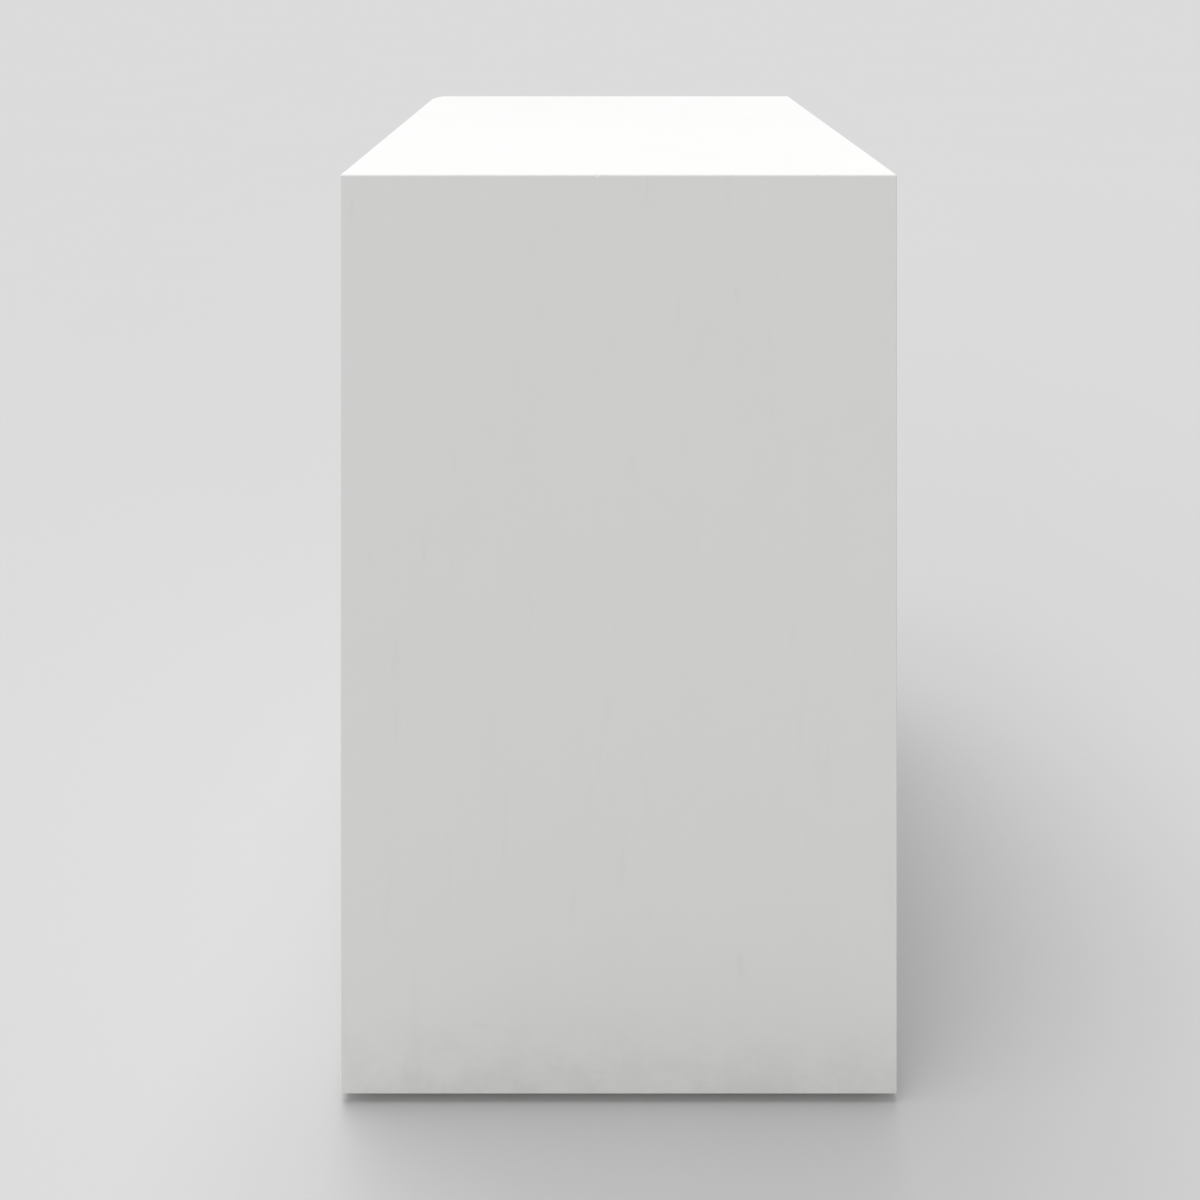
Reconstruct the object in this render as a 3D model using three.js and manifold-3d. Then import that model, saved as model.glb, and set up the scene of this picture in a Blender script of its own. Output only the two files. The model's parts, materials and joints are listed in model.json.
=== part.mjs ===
// Museum display plinth: a hollow, white-lacquered MDF box on four levelling feet.
// Millimetres, +Z up, front face towards -Y. The origin is on the floor, under the centre.
//
// The front, both sides and the top are panels mitred to each other on loose plywood tongues.
// Softwood posts, rails and cleats stiffen them from inside, a plywood diaphragm ties them at
// half height, and a plywood base board carries the feet. The whole back is one access panel
// on six furniture bolts. The feet are drawn screwed right in, collar up against insert.
import * as THREE from "three";
import { mergeVertices } from "three/addons/utils/BufferGeometryUtils.js";
import { RoundedBoxGeometry } from "three/addons/geometries/RoundedBoxGeometry.js";
import { ConvexGeometry } from "three/addons/geometries/ConvexGeometry.js";
import Module from "manifold-3d";

const wasm = await Module();
wasm.setup();

// ---- driving dimensions ----
const SIDE = 600; // the plinth is square in plan
const HEIGHT = 1000; // floor to display surface
const PANEL = 18; // MDF thickness
const ARRIS = 2; // radius on the outside edges
const FLOOR_GAP = 10; // panels stand this far off the floor
const GLUE = 0.1; // gap between two fixed pieces
const REVEAL = 2; // gap round the access panel

const POST = 44; // square corner posts
const RAIL_THICKNESS = 20; // rails under the top, and battens on the base board
const RAIL_HEIGHT = 44;
const BATTEN_HEIGHT = 22;
const BEARER = 44; // square bearer across the middle of the top
const BASE_Z = 22.2; // underside of the base board
const BASE_THICKNESS = 18;

const PAST = 1; // how far cutting shapes run past the face they cut
const ROUND = 20; // segments of a round hole or shaft
const SMALL = 16; // the same for bolts and their inserts
const SCREW_SEGMENTS = 12;
const PAD_SEGMENTS = 28;

const HALF = SIDE / 2;
const INSIDE = HALF - PANEL; // inside faces of the upright panels
const TOP_INSIDE = HEIGHT - PANEL; // underside of the top panel
const FRAME = INSIDE - GLUE; // outside faces of everything glued inside the panels
const FRAME_TOP = TOP_INSIDE - GLUE;
const ON_BASE = BASE_Z + BASE_THICKNESS + GLUE; // underside of pieces standing on the base board
const BETWEEN_POSTS = FRAME - POST - GLUE; // half the free length from post to post

const CORNERS = [
  { name: "front_left", sideX: -1, sideY: -1 },
  { name: "front_right", sideX: 1, sideY: -1 },
  { name: "rear_left", sideX: -1, sideY: 1 },
  { name: "rear_right", sideX: 1, sideY: 1 },
];
const EDGES = ["front", "rear", "left", "right"];

// ---- materials ----
const finish = ({ color, roughness, metalness = 0 }) =>
  new THREE.MeshStandardMaterial({ color, roughness, metalness });
const lacquer = finish({ color: 0xf3f3f0, roughness: 0.42 });
const softwood = finish({ color: 0xd9b98a, roughness: 0.7 });
const plywood = finish({ color: 0xd8bd95, roughness: 0.6 });
const zinc = finish({ color: 0xb9bcc0, roughness: 0.35, metalness: 1 });
const nickel = finish({ color: 0xc9c9c6, roughness: 0.28, metalness: 1 });
const nylon = finish({ color: 0x17181a, roughness: 0.55 });

// ---- solids ----
function solid(geometry) {
  const bare = geometry.index ? geometry.toNonIndexed() : geometry.clone();
  // Normals and UVs would keep coincident vertices apart.
  bare.deleteAttribute("normal");
  bare.deleteAttribute("uv");
  const merged = mergeVertices(bare, 1e-4);
  return new wasm.Manifold(
    new wasm.Mesh({
      numProp: 3,
      vertProperties: new Float32Array(merged.attributes.position.array),
      triVerts: new Uint32Array(merged.index.array),
    }),
  );
}

function geometryOf(manifold) {
  const mesh = manifold.getMesh();
  const indexed = new THREE.BufferGeometry();
  const positions = new Float32Array(mesh.vertProperties);
  indexed.setAttribute("position", new THREE.BufferAttribute(positions, 3));
  indexed.setIndex(new THREE.BufferAttribute(new Uint32Array(mesh.triVerts), 1));
  const flat = indexed.toNonIndexed();
  flat.computeVertexNormals();
  return flat;
}

const cut = (blank, ...tools) => tools.reduce((piece, tool) => piece.subtract(tool), blank);

// Cuts the same upright tool, a geometry on the Z axis, at each [x, y].
const drill = (blank, tool, places) =>
  cut(blank, ...places.map(([x, y]) => solid(tool.clone().translate(x, y, 0))));

// A box between two corners.
function block(x0, y0, z0, x1, y1, z1) {
  return new THREE.BoxGeometry(x1 - x0, y1 - y0, z1 - z0).translate(
    (x0 + x1) / 2,
    (y0 + y1) / 2,
    (z0 + z1) / 2,
  );
}

// A turned shape from [radius, z] pairs, standing on Z.
function turned(profile, segments = ROUND) {
  const points = profile.map(([radius, z]) => new THREE.Vector2(radius, z));
  return new THREE.LatheGeometry(points, segments).rotateX(Math.PI / 2);
}

const rod = (radius, z0, z1, segments = ROUND) =>
  turned([[0, z0], [radius, z0], [radius, z1], [0, z1]], segments);

// A hexagonal prism on Z, sized across flats.
function hexagon(flats, z0, z1) {
  const radius = flats / Math.sqrt(3);
  return new THREE.CylinderGeometry(radius, radius, z1 - z0, 6)
    .rotateX(Math.PI / 2)
    .translate(0, 0, (z0 + z1) / 2);
}

// Lays a shape standing on Z along +Y.
const alongY = (geometry) => geometry.rotateX(-Math.PI / 2);

// A flat board from an outline of [x, y] points, with one hole.
function board(outline, hole, z0, thickness) {
  const shape = new THREE.Shape(outline.map(([x, y]) => new THREE.Vector2(x, y)));
  shape.holes.push(hole);
  const options = { depth: thickness, bevelEnabled: false, curveSegments: 6 };
  return solid(new THREE.ExtrudeGeometry(shape, options).translate(0, 0, z0));
}

// A centred square hole with rounded corners.
function roundedHole(half, radius) {
  const path = new THREE.Path();
  const reach = half - radius;
  path.moveTo(-reach, -half);
  [[1, -1], [1, 1], [-1, 1], [-1, -1]].forEach(([x, y], i) => {
    const start = ((i - 1) * Math.PI) / 2;
    path.absarc(x * reach, y * reach, radius, start, start + Math.PI / 2);
  });
  return path;
}

// A bar against the inside of one panel, centred along it.
function edgeBar(edge, halfLength, thickness, z0, z1) {
  const inner = FRAME - thickness;
  const [x0, y0, x1, y1] = {
    front: [-halfLength, -FRAME, halfLength, -inner],
    rear: [-halfLength, inner, halfLength, FRAME],
    left: [-FRAME, -halfLength, -inner, halfLength],
    right: [inner, -halfLength, FRAME, halfLength],
  }[edge];
  return block(x0, y0, z0, x1, y1, z1);
}

// ---- mitred panel blanks ----
const BODY = HEIGHT - FLOOR_GAP;
const envelope = solid(
  new RoundedBoxGeometry(SIDE, SIDE, BODY, 3, ARRIS).translate(0, 0, FLOOR_GAP + BODY / 2),
);

// Every corner that the given x, y and z values make.
const corners = (xs, ys, zs) =>
  zs.flatMap((z) => ys.flatMap((y) => xs.map((x) => new THREE.Vector3(x, y, z))));

// The piece of the envelope between an outer rectangle and an inner one, so its sides are mitres.
const wedge = (outer, inner) =>
  envelope.intersect(solid(new ConvexGeometry([...outer, ...inner])));

const SETBACK = (GLUE / 2) * Math.SQRT2; // half the mitre's glue line, measured along the panel
const SKIN = HALF + PAST; // wedges run past the outside faces
const SKIN_TOP = HEIGHT + PAST;
const LOW = FLOOR_GAP - PAST;
const OUTER = SKIN - SETBACK;
const OUTER_TOP = SKIN_TOP - SETBACK;
const INNER = INSIDE - SETBACK;
const INNER_TOP = TOP_INSIDE - SETBACK;

const frontBlank = wedge(
  corners([-OUTER, OUTER], [-SKIN], [LOW, OUTER_TOP]),
  corners([-INNER, INNER], [-INSIDE], [LOW, INNER_TOP]),
);
const sideBlank = (side) =>
  wedge(
    corners([side * SKIN], [-OUTER, SKIN], [LOW, OUTER_TOP]),
    corners([side * INSIDE], [-INNER, SKIN], [LOW, INNER_TOP]),
  );
const topBlank = wedge(
  corners([-OUTER, OUTER], [-OUTER, SKIN], [SKIN_TOP]),
  corners([-INNER, INNER], [-INNER, SKIN], [TOP_INSIDE]),
);

// ---- loose tongues across the mitres, and their grooves ----
const TONGUE_THICKNESS = 4;
const TONGUE_WIDTH = 14;
const TONGUE_IN = 6; // tongue centre, out from the mitre's inside corner, on each axis
const TONGUE_ROOM = 0.3; // room round a tongue in its groove
const TONGUE_LENGTH = SIDE - 2 * 50; // along the top edges
const UPRIGHT_Z0 = FLOOR_GAP + 30;
const UPRIGHT_Z1 = TOP_INSIDE - 40;
const UPRIGHT_MID = (UPRIGHT_Z0 + UPRIGHT_Z1) / 2;
const TONGUE_XY = INSIDE + TONGUE_IN;
const TONGUE_Z = TOP_INSIDE + TONGUE_IN;
const MITRE = Math.PI / 4;

const uprightSize = [TONGUE_WIDTH, TONGUE_THICKNESS, UPRIGHT_Z1 - UPRIGHT_Z0];
const topFrontSize = [TONGUE_LENGTH, TONGUE_WIDTH, TONGUE_THICKNESS];
const topSideSize = [TONGUE_WIDTH, TONGUE_LENGTH, TONGUE_THICKNESS];

// Name: size, turning method, angle, centre.
const TONGUES = {
  front_left: [uprightSize, "rotateZ", -MITRE, [-TONGUE_XY, -TONGUE_XY, UPRIGHT_MID]],
  front_right: [uprightSize, "rotateZ", MITRE, [TONGUE_XY, -TONGUE_XY, UPRIGHT_MID]],
  top_front: [topFrontSize, "rotateX", MITRE, [0, -TONGUE_XY, TONGUE_Z]],
  top_left: [topSideSize, "rotateY", -MITRE, [-TONGUE_XY, 0, TONGUE_Z]],
  top_right: [topSideSize, "rotateY", MITRE, [TONGUE_XY, 0, TONGUE_Z]],
};

function tongue(name, growth = 0) {
  const [size, turn, angle, centre] = TONGUES[name];
  const grown = size.map((length) => length + 2 * growth);
  return new THREE.BoxGeometry(...grown)[turn](angle).translate(...centre);
}

const grooved = (blank, ...names) =>
  cut(blank, ...names.map((name) => solid(tongue(name, TONGUE_ROOM))));

// ---- access panel bolts and their threaded inserts ----
// Each is drawn along Y, with y = 0 on the outside face of the access panel.
const BOLT_X = 260; // from the centre line
const BOLT_Z = [120, 495, 870];
const boltPlaces = [-1, 1].flatMap((side) => BOLT_Z.map((z) => [side * BOLT_X, HALF, z]));

const HEAD_RADIUS = 8.5;
const HEAD_THICKNESS = 1.8;
const HEAD_SINK = 2.1; // depth of the head's underside
const SHANK_RADIUS = 2.95;
const BOLT_LENGTH = 38; // from the outside face
const POST_FACE = -PANEL - GLUE; // rear face of the rear posts
const INSERT_END = POST_FACE - 13;
const INSERT_RADIUS = 5;
const BOLT_BORE_DEPTH = 27; // past the inside face of the access panel

function makeBolt() {
  const headTop = -HEAD_SINK + HEAD_THICKNESS;
  const profile = [
    [0, -BOLT_LENGTH],
    [2.2, -BOLT_LENGTH],
    [SHANK_RADIUS, -BOLT_LENGTH + 1],
    [SHANK_RADIUS, -HEAD_SINK],
    [HEAD_RADIUS, -HEAD_SINK],
    [HEAD_RADIUS, -HEAD_SINK + 0.7],
    [HEAD_RADIUS - 1.1, headTop],
    [0, headTop],
  ];
  const hexSocket = hexagon(4, -3.4, PAST);
  return cut(solid(alongY(turned(profile, SMALL))), solid(alongY(hexSocket)));
}

function makeBoltInsert() {
  const profile = [
    [0, INSERT_END],
    [INSERT_RADIUS - 0.4, INSERT_END],
    [INSERT_RADIUS, INSERT_END + 0.8],
    [INSERT_RADIUS, POST_FACE],
    [0, POST_FACE],
  ];
  const hole = rod(3.25, INSERT_END - PAST, POST_FACE + PAST, SMALL);
  return cut(solid(alongY(turned(profile, SMALL))), solid(alongY(hole)));
}

function makeAccessPanel() {
  const top = TOP_INSIDE - REVEAL;
  const width = 2 * (INSIDE - REVEAL);
  const blank = solid(
    new RoundedBoxGeometry(width, PANEL, top - FLOOR_GAP, 2, 1).translate(
      0,
      HALF - PANEL / 2,
      (top + FLOOR_GAP) / 2,
    ),
  );
  const hole = solid(alongY(rod(3.4, -PANEL - PAST, PAST, SMALL)));
  const seat = solid(alongY(rod(9.2, -HEAD_SINK, PAST, SMALL)));
  const tools = boltPlaces.flatMap((place) => [hole.translate(place), seat.translate(place)]);
  return cut(blank, ...tools);
}

// ---- corner posts; the rear ones are bored for the bolts ----
const insertBore = solid(
  alongY(rod(INSERT_RADIUS + 0.3, INSERT_END - 0.4, POST_FACE + PAST, SMALL)),
);
const boltBore = solid(alongY(rod(3.6, -PANEL - BOLT_BORE_DEPTH, POST_FACE + PAST, SMALL)));

function makePost(sideX, sideY) {
  const centre = FRAME - POST / 2;
  const blank = solid(
    new RoundedBoxGeometry(POST, POST, FRAME_TOP - ON_BASE, 1, 2).translate(
      sideX * centre,
      sideY * centre,
      (ON_BASE + FRAME_TOP) / 2,
    ),
  );
  if (sideY < 0) return blank;
  const places = boltPlaces.filter(([x]) => Math.sign(x) === sideX);
  const bores = places.flatMap((place) => [
    insertBore.translate(place),
    boltBore.translate(place),
  ]);
  return cut(blank, ...bores);
}

// ---- bearer, from the front top rail to the rear one ----
function makeBearer() {
  const reach = FRAME - RAIL_THICKNESS - GLUE;
  return block(-BEARER / 2, -reach, FRAME_TOP - BEARER, BEARER / 2, reach, FRAME_TOP);
}

// ---- diaphragm at half height, notched round the posts, and its cleats ----
const DIAPHRAGM_THICKNESS = 12;
const DIAPHRAGM_Z = 500; // underside
const NOTCH = POST + 2 * GLUE + 0.3;
const CLEAT = 20; // square
const CLEAT_HALF_LENGTH = 210;
const CLEAT_TOP = DIAPHRAGM_Z - GLUE;

function makeDiaphragm() {
  const notched = FRAME - NOTCH;
  const outline = [
    [-notched, -FRAME], [notched, -FRAME], [notched, -notched],
    [FRAME, -notched], [FRAME, notched], [notched, notched],
    [notched, FRAME], [-notched, FRAME], [-notched, notched],
    [-FRAME, notched], [-FRAME, -notched], [-notched, -notched],
  ];
  // The corner radius is a hair under half the width, so the hole is all but a circle.
  const hole = roundedHole(130, 130 - 1e-3);
  return board(outline, hole, DIAPHRAGM_Z, DIAPHRAGM_THICKNESS);
}

// ---- base board screws: countersunk, up through the board into the battens ----
const SCREW_OFF = 150; // from the centre lines
const BATTEN_MID = FRAME - RAIL_THICKNESS / 2;
const SCREW_Z = BASE_Z + 0.2; // underside of the head
const screwPlaces = {
  front: [[-SCREW_OFF, -BATTEN_MID], [SCREW_OFF, -BATTEN_MID]],
  rear: [[-SCREW_OFF, BATTEN_MID], [SCREW_OFF, BATTEN_MID]],
  left: [[-BATTEN_MID, -SCREW_OFF], [-BATTEN_MID, SCREW_OFF]],
  right: [[BATTEN_MID, -SCREW_OFF], [BATTEN_MID, SCREW_OFF]],
};
const allScrewPlaces = EDGES.flatMap((edge) => screwPlaces[edge]);

function makeScrew() {
  const profile = [
    [0, SCREW_Z],
    [4, SCREW_Z],
    [4, SCREW_Z + 0.4],
    [1.9, SCREW_Z + 2.6],
    [1.9, SCREW_Z + 27],
    [0, SCREW_Z + 31],
  ];
  // Two crossed slots in the head.
  const reach = 2.4;
  const halfSlot = 0.5;
  const z0 = SCREW_Z - PAST;
  const z1 = SCREW_Z + 1.4;
  return cut(
    solid(turned(profile, SCREW_SEGMENTS)),
    solid(block(-reach, -halfSlot, z0, reach, halfSlot, z1)),
    solid(block(-halfSlot, -reach, z0, halfSlot, reach, z1)),
  );
}

// The countersunk hole for a screw, a little larger all round.
const screwRoom = turned(
  [
    [0, BASE_Z - PAST],
    [4.4, BASE_Z - PAST],
    [4.4, SCREW_Z + 0.5],
    [2.2, SCREW_Z + 2.8],
    [2.2, SCREW_Z + 28],
    [0, SCREW_Z + 32],
  ],
  SCREW_SEGMENTS,
);

// ---- base board and battens ----
const FOOT_XY = 225; // foot centres from the centre lines
const footPlaces = CORNERS.map(({ sideX, sideY }) => [sideX * FOOT_XY, sideY * FOOT_XY]);

function makeBaseBoard() {
  const outline = [[-FRAME, -FRAME], [FRAME, -FRAME], [FRAME, FRAME], [-FRAME, FRAME]];
  const blank = board(outline, roundedHole(110, 30), BASE_Z, BASE_THICKNESS);
  const footHole = rod(6.3, BASE_Z - PAST, BASE_Z + BASE_THICKNESS + PAST);
  return drill(drill(blank, footHole, footPlaces), screwRoom, allScrewPlaces);
}

function makeBatten(edge) {
  const top = ON_BASE + BATTEN_HEIGHT;
  const bar = edgeBar(edge, BETWEEN_POSTS, RAIL_THICKNESS, ON_BASE, top);
  return drill(solid(bar), screwRoom, screwPlaces[edge]);
}

// ---- levelling feet, drawn on Z with the floor at 0 ----
const THREAD_RADIUS = 5; // M10
const FLANGE = 1.5; // thickness of the insert's flange, under the base board
const FLANGE_TOP = BASE_Z - GLUE;
const FLANGE_Z = FLANGE_TOP - FLANGE;
const FOOT_INSERT_TOP = BASE_Z + 13;
const COLLAR_TOP = FLANGE_Z - GLUE;
const COLLAR_Z = COLLAR_TOP - 6;
const STEM_TOP = 66;
const PAD_RADIUS = 25;

function makeFootInsert() {
  const profile = [
    [0, FLANGE_Z],
    [13, FLANGE_Z],
    [13, FLANGE_TOP],
    [6, FLANGE_TOP],
    [6, FOOT_INSERT_TOP],
    [0, FOOT_INSERT_TOP],
  ];
  const hole = rod(THREAD_RADIUS + 0.15, FLANGE_Z - PAST, FOOT_INSERT_TOP + PAST);
  return cut(solid(turned(profile)), solid(hole));
}

// Threaded stem: a disc that snaps into the pad, a 17 mm spanner collar, a hex socket on top.
function makeStem() {
  const profile = [
    [0, 3.1],
    [6.4, 3.1],
    [7, 3.7],
    [7, 7.4],
    [4.7, 7.6],
    [4.7, COLLAR_Z + 1],
    [THREAD_RADIUS - 0.05, COLLAR_Z + 1],
    [THREAD_RADIUS - 0.05, STEM_TOP - 1],
    [THREAD_RADIUS - 1, STEM_TOP],
    [0, STEM_TOP],
  ];
  const collar = solid(hexagon(17, COLLAR_Z, COLLAR_TOP));
  const socket = solid(hexagon(5, STEM_TOP - 7, STEM_TOP + PAST));
  return cut(solid(turned(profile)).add(collar), socket);
}

// Moulded pad: the mouth is narrower than the pocket the stem's disc sits in.
function makePad() {
  const profile = [
    [0, 0],
    [PAD_RADIUS - 1, 0],
    [PAD_RADIUS, 1],
    [PAD_RADIUS, 5],
    [PAD_RADIUS - 1.2, 6.4],
    [16, 12.4],
    [12, 14],
    [5.2, 14],
    [5.2, 8.4],
    [7.4, 8.1],
    [7.4, 3],
    [0, 3],
  ];
  return solid(turned(profile, PAD_SEGMENTS));
}

// ---- the assembly ----
const plinth = new THREE.Group();
const carcass = new THREE.Group();
const rear = new THREE.Group();
plinth.add(carcass, rear);

// Takes a manifold or a ready geometry.
function add(parent, name, shape, material, position = [0, 0, 0]) {
  const geometry = shape.isBufferGeometry ? shape : geometryOf(shape);
  const mesh = new THREE.Mesh(geometry, material);
  mesh.name = name;
  mesh.position.set(...position);
  parent.add(mesh);
}

add(carcass, "top_panel", grooved(topBlank, "top_front", "top_left", "top_right"), lacquer);
const frontPanel = grooved(frontBlank, "front_left", "front_right", "top_front");
add(carcass, "front_panel", frontPanel, lacquer);
add(carcass, "left_panel", grooved(sideBlank(-1), "front_left", "top_left"), lacquer);
add(carcass, "right_panel", grooved(sideBlank(1), "front_right", "top_right"), lacquer);
for (const name of Object.keys(TONGUES)) add(carcass, "tongue_" + name, tongue(name), plywood);

for (const { name, sideX, sideY } of CORNERS)
  add(carcass, "post_" + name, makePost(sideX, sideY), softwood);

for (const edge of EDGES) {
  const z0 = FRAME_TOP - RAIL_HEIGHT;
  const bar = edgeBar(edge, BETWEEN_POSTS, RAIL_THICKNESS, z0, FRAME_TOP);
  add(carcass, "top_rail_" + edge, bar, softwood);
}
add(carcass, "top_bearer", makeBearer(), softwood);

add(carcass, "mid_diaphragm", makeDiaphragm(), plywood);
for (const edge of ["front", "left", "right"]) {
  const bar = edgeBar(edge, CLEAT_HALF_LENGTH, CLEAT, CLEAT_TOP - CLEAT, CLEAT_TOP);
  add(carcass, "cleat_" + edge, bar, softwood);
}

add(carcass, "base_board", makeBaseBoard(), plywood);
for (const edge of EDGES) add(carcass, "base_batten_" + edge, makeBatten(edge), softwood);
const screw = makeScrew();
allScrewPlaces.forEach(([x, y], i) =>
  add(carcass, "base_screw_" + (i + 1), screw, zinc, [x, y, 0]),
);

add(rear, "rear_access_panel", makeAccessPanel(), lacquer);
const bolt = makeBolt();
const boltInsert = makeBoltInsert();
boltPlaces.forEach((place, i) => {
  add(rear, "rear_bolt_" + (i + 1), bolt, nickel, place);
  add(carcass, "rear_insert_" + (i + 1), boltInsert, zinc, place);
});

const footInsert = makeFootInsert();
const pad = makePad();
const stem = makeStem();
CORNERS.forEach(({ name }, i) => {
  const [x, y] = footPlaces[i];
  add(carcass, "foot_insert_" + name, footInsert, zinc, [x, y, 0]);
  const foot = new THREE.Group();
  foot.position.set(x, y, 0);
  plinth.add(foot);
  add(foot, "foot_pad_" + name, pad, nylon);
  add(foot, "foot_stem_" + name, stem, zinc);
});

export default plinth;
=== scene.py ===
import json
import math

import bmesh
import bpy
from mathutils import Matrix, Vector, noise
from mathutils.geometry import tessellate_polygon

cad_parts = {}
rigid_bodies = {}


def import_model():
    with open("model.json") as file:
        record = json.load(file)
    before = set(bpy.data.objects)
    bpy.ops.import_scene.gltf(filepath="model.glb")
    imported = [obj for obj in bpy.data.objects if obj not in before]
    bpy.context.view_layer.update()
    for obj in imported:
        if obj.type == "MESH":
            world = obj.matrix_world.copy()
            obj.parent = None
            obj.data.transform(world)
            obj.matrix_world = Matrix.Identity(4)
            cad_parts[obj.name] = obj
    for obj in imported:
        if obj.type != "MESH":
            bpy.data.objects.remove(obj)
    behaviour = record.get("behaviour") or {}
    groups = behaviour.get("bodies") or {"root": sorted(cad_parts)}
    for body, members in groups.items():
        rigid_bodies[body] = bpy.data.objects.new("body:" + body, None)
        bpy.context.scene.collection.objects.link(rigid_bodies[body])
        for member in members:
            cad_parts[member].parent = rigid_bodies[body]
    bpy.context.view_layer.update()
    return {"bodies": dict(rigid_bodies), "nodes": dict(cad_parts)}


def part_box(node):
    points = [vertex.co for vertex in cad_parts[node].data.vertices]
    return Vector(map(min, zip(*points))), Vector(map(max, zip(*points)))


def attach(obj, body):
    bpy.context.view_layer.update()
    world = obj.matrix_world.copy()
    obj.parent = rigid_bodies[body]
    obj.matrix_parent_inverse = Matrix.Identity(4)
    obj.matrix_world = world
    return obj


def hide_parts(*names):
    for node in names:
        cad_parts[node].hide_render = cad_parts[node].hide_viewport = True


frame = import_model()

MM = 0.001
PI = math.pi
noise.seed_set(7)

# ---------------------------------------------------------------- sizes, all read from the frame
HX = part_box("right_panel")[1].x
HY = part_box("right_panel")[1].y
Z1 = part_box("top_panel")[1].z
Z0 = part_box("front_panel")[0].z
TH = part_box("top_panel")[1].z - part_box("top_panel")[0].z
ARRIS = 2 * MM


# ================================================================ node materials
class Nodes:
    """A material with one Principled shader, and short ways to add nodes to it."""

    def __init__(self, name):
        self.mat = bpy.data.materials.new(name)
        self.mat.use_nodes = True
        self.tree = self.mat.node_tree
        self.tree.nodes.clear()
        self.out = self.tree.nodes.new("ShaderNodeOutputMaterial")
        self.bsdf = self.tree.nodes.new("ShaderNodeBsdfPrincipled")
        self.link(self.bsdf.outputs[0], self.out.inputs[0])
        self.coord = self.tree.nodes.new("ShaderNodeTexCoord").outputs["Object"]
        self.geo = self.tree.nodes.new("ShaderNodeNewGeometry")

    def link(self, a, b):
        self.tree.links.new(a, b)

    def put(self, socket, value):
        if isinstance(value, bpy.types.NodeSocket):
            self.link(value, socket)
        else:
            socket.default_value = value

    def node(self, kind, **values):
        n = self.tree.nodes.new(kind)
        for k, v in values.items():
            setattr(n, k, v)
        return n

    def math(self, op, a, b=None, c=None, clamp=False):
        n = self.node("ShaderNodeMath", operation=op, use_clamp=clamp)
        for i, v in enumerate((a, b, c)):
            if v is not None:
                self.put(n.inputs[i], v)
        return n.outputs[0]

    def vec(self, op, a, b=None):
        n = self.node("ShaderNodeVectorMath", operation=op)
        self.put(n.inputs[0], a)
        if b is not None:
            self.put(n.inputs[1], b)
        return n.outputs[
            1 if op in ("LENGTH", "DOT_PRODUCT", "DISTANCE") else 0
        ]

    def xyz(self, v):
        n = self.node("ShaderNodeSeparateXYZ")
        self.link(v, n.inputs[0])
        return n.outputs

    def combine(self, x, y, z):
        n = self.node("ShaderNodeCombineXYZ")
        for i, v in enumerate((x, y, z)):
            self.put(n.inputs[i], v)
        return n.outputs[0]

    def scaled(self, v, s):
        return self.vec("MULTIPLY", v, s if isinstance(s, tuple) else (s, s, s))

    def noise(self, v, scale, detail=2.0, rough=0.5, distort=0.0):
        n = self.node("ShaderNodeTexNoise")
        self.link(v, n.inputs["Vector"])
        n.inputs["Scale"].default_value = scale
        n.inputs["Detail"].default_value = detail
        n.inputs["Roughness"].default_value = rough
        n.inputs["Distortion"].default_value = distort
        return n.outputs[0]

    def voronoi(self, v, scale, feature="F1", out="Distance", rand=1.0):
        n = self.node("ShaderNodeTexVoronoi", feature=feature)
        self.link(v, n.inputs["Vector"])
        n.inputs["Scale"].default_value = scale
        n.inputs["Randomness"].default_value = rand
        return n.outputs[out]

    def step(self, v, lo, hi, to0=0.0, to1=1.0, smooth=True):
        """v from lo to hi becomes to0 to to1, clamped."""
        n = self.node(
            "ShaderNodeMapRange",
            interpolation_type="SMOOTHSTEP" if smooth else "LINEAR",
        )
        self.put(n.inputs[0], v)
        for i, x in enumerate((lo, hi, to0, to1)):
            n.inputs[i + 1].default_value = x
        return n.outputs[0]

    def mix(self, f, a, b):
        n = self.node("ShaderNodeMix", data_type="RGBA")
        self.put(n.inputs[0], f)
        self.put(n.inputs[6], (*a, 1) if isinstance(a, tuple) else a)
        self.put(n.inputs[7], (*b, 1) if isinstance(b, tuple) else b)
        return n.outputs[2]

    def ramp(self, f, *stops):
        n = self.node("ShaderNodeValToRGB")
        e = n.color_ramp.elements
        while len(e) < len(stops):
            e.new(0.5)
        for i, (at, colour) in enumerate(stops):
            e[i].position = at
            e[i].color = (*colour, 1)
        self.link(f, n.inputs[0])
        return n.outputs[0]

    def bump(self, height, metres, strength=1.0, after=None):
        n = self.node("ShaderNodeBump")
        n.inputs["Strength"].default_value = strength
        n.inputs["Distance"].default_value = metres
        self.link(height, n.inputs["Height"])
        if after is not None:
            self.link(after, n.inputs["Normal"])
        return n.outputs[0]

    def done(self, colour, rough, metallic=0.0, normal=None, **more):
        self.put(
            self.bsdf.inputs["Base Color"],
            (*colour, 1) if isinstance(colour, tuple) else colour,
        )
        self.put(self.bsdf.inputs["Roughness"], rough)
        self.put(self.bsdf.inputs["Metallic"], metallic)
        if normal is not None:
            self.link(normal, self.bsdf.inputs["Normal"])
        for k, v in more.items():
            self.put(self.bsdf.inputs[k.replace("_", " ")], v)
        return self.mat


# The chips on the front top arris: centre x, half width, depth of the facet, all in metres.
CHIPS = [
    (-0.0232, 0.0030, 0.00165),
    (-0.0145, 0.0075, 0.00102),
    (0.0278, 0.0019, 0.00128),
    (0.1222, 0.0014, 0.00112),
    (-0.2405, 0.0012, 0.00100),
    (0.2140, 0.0022, 0.00096),
]


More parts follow.
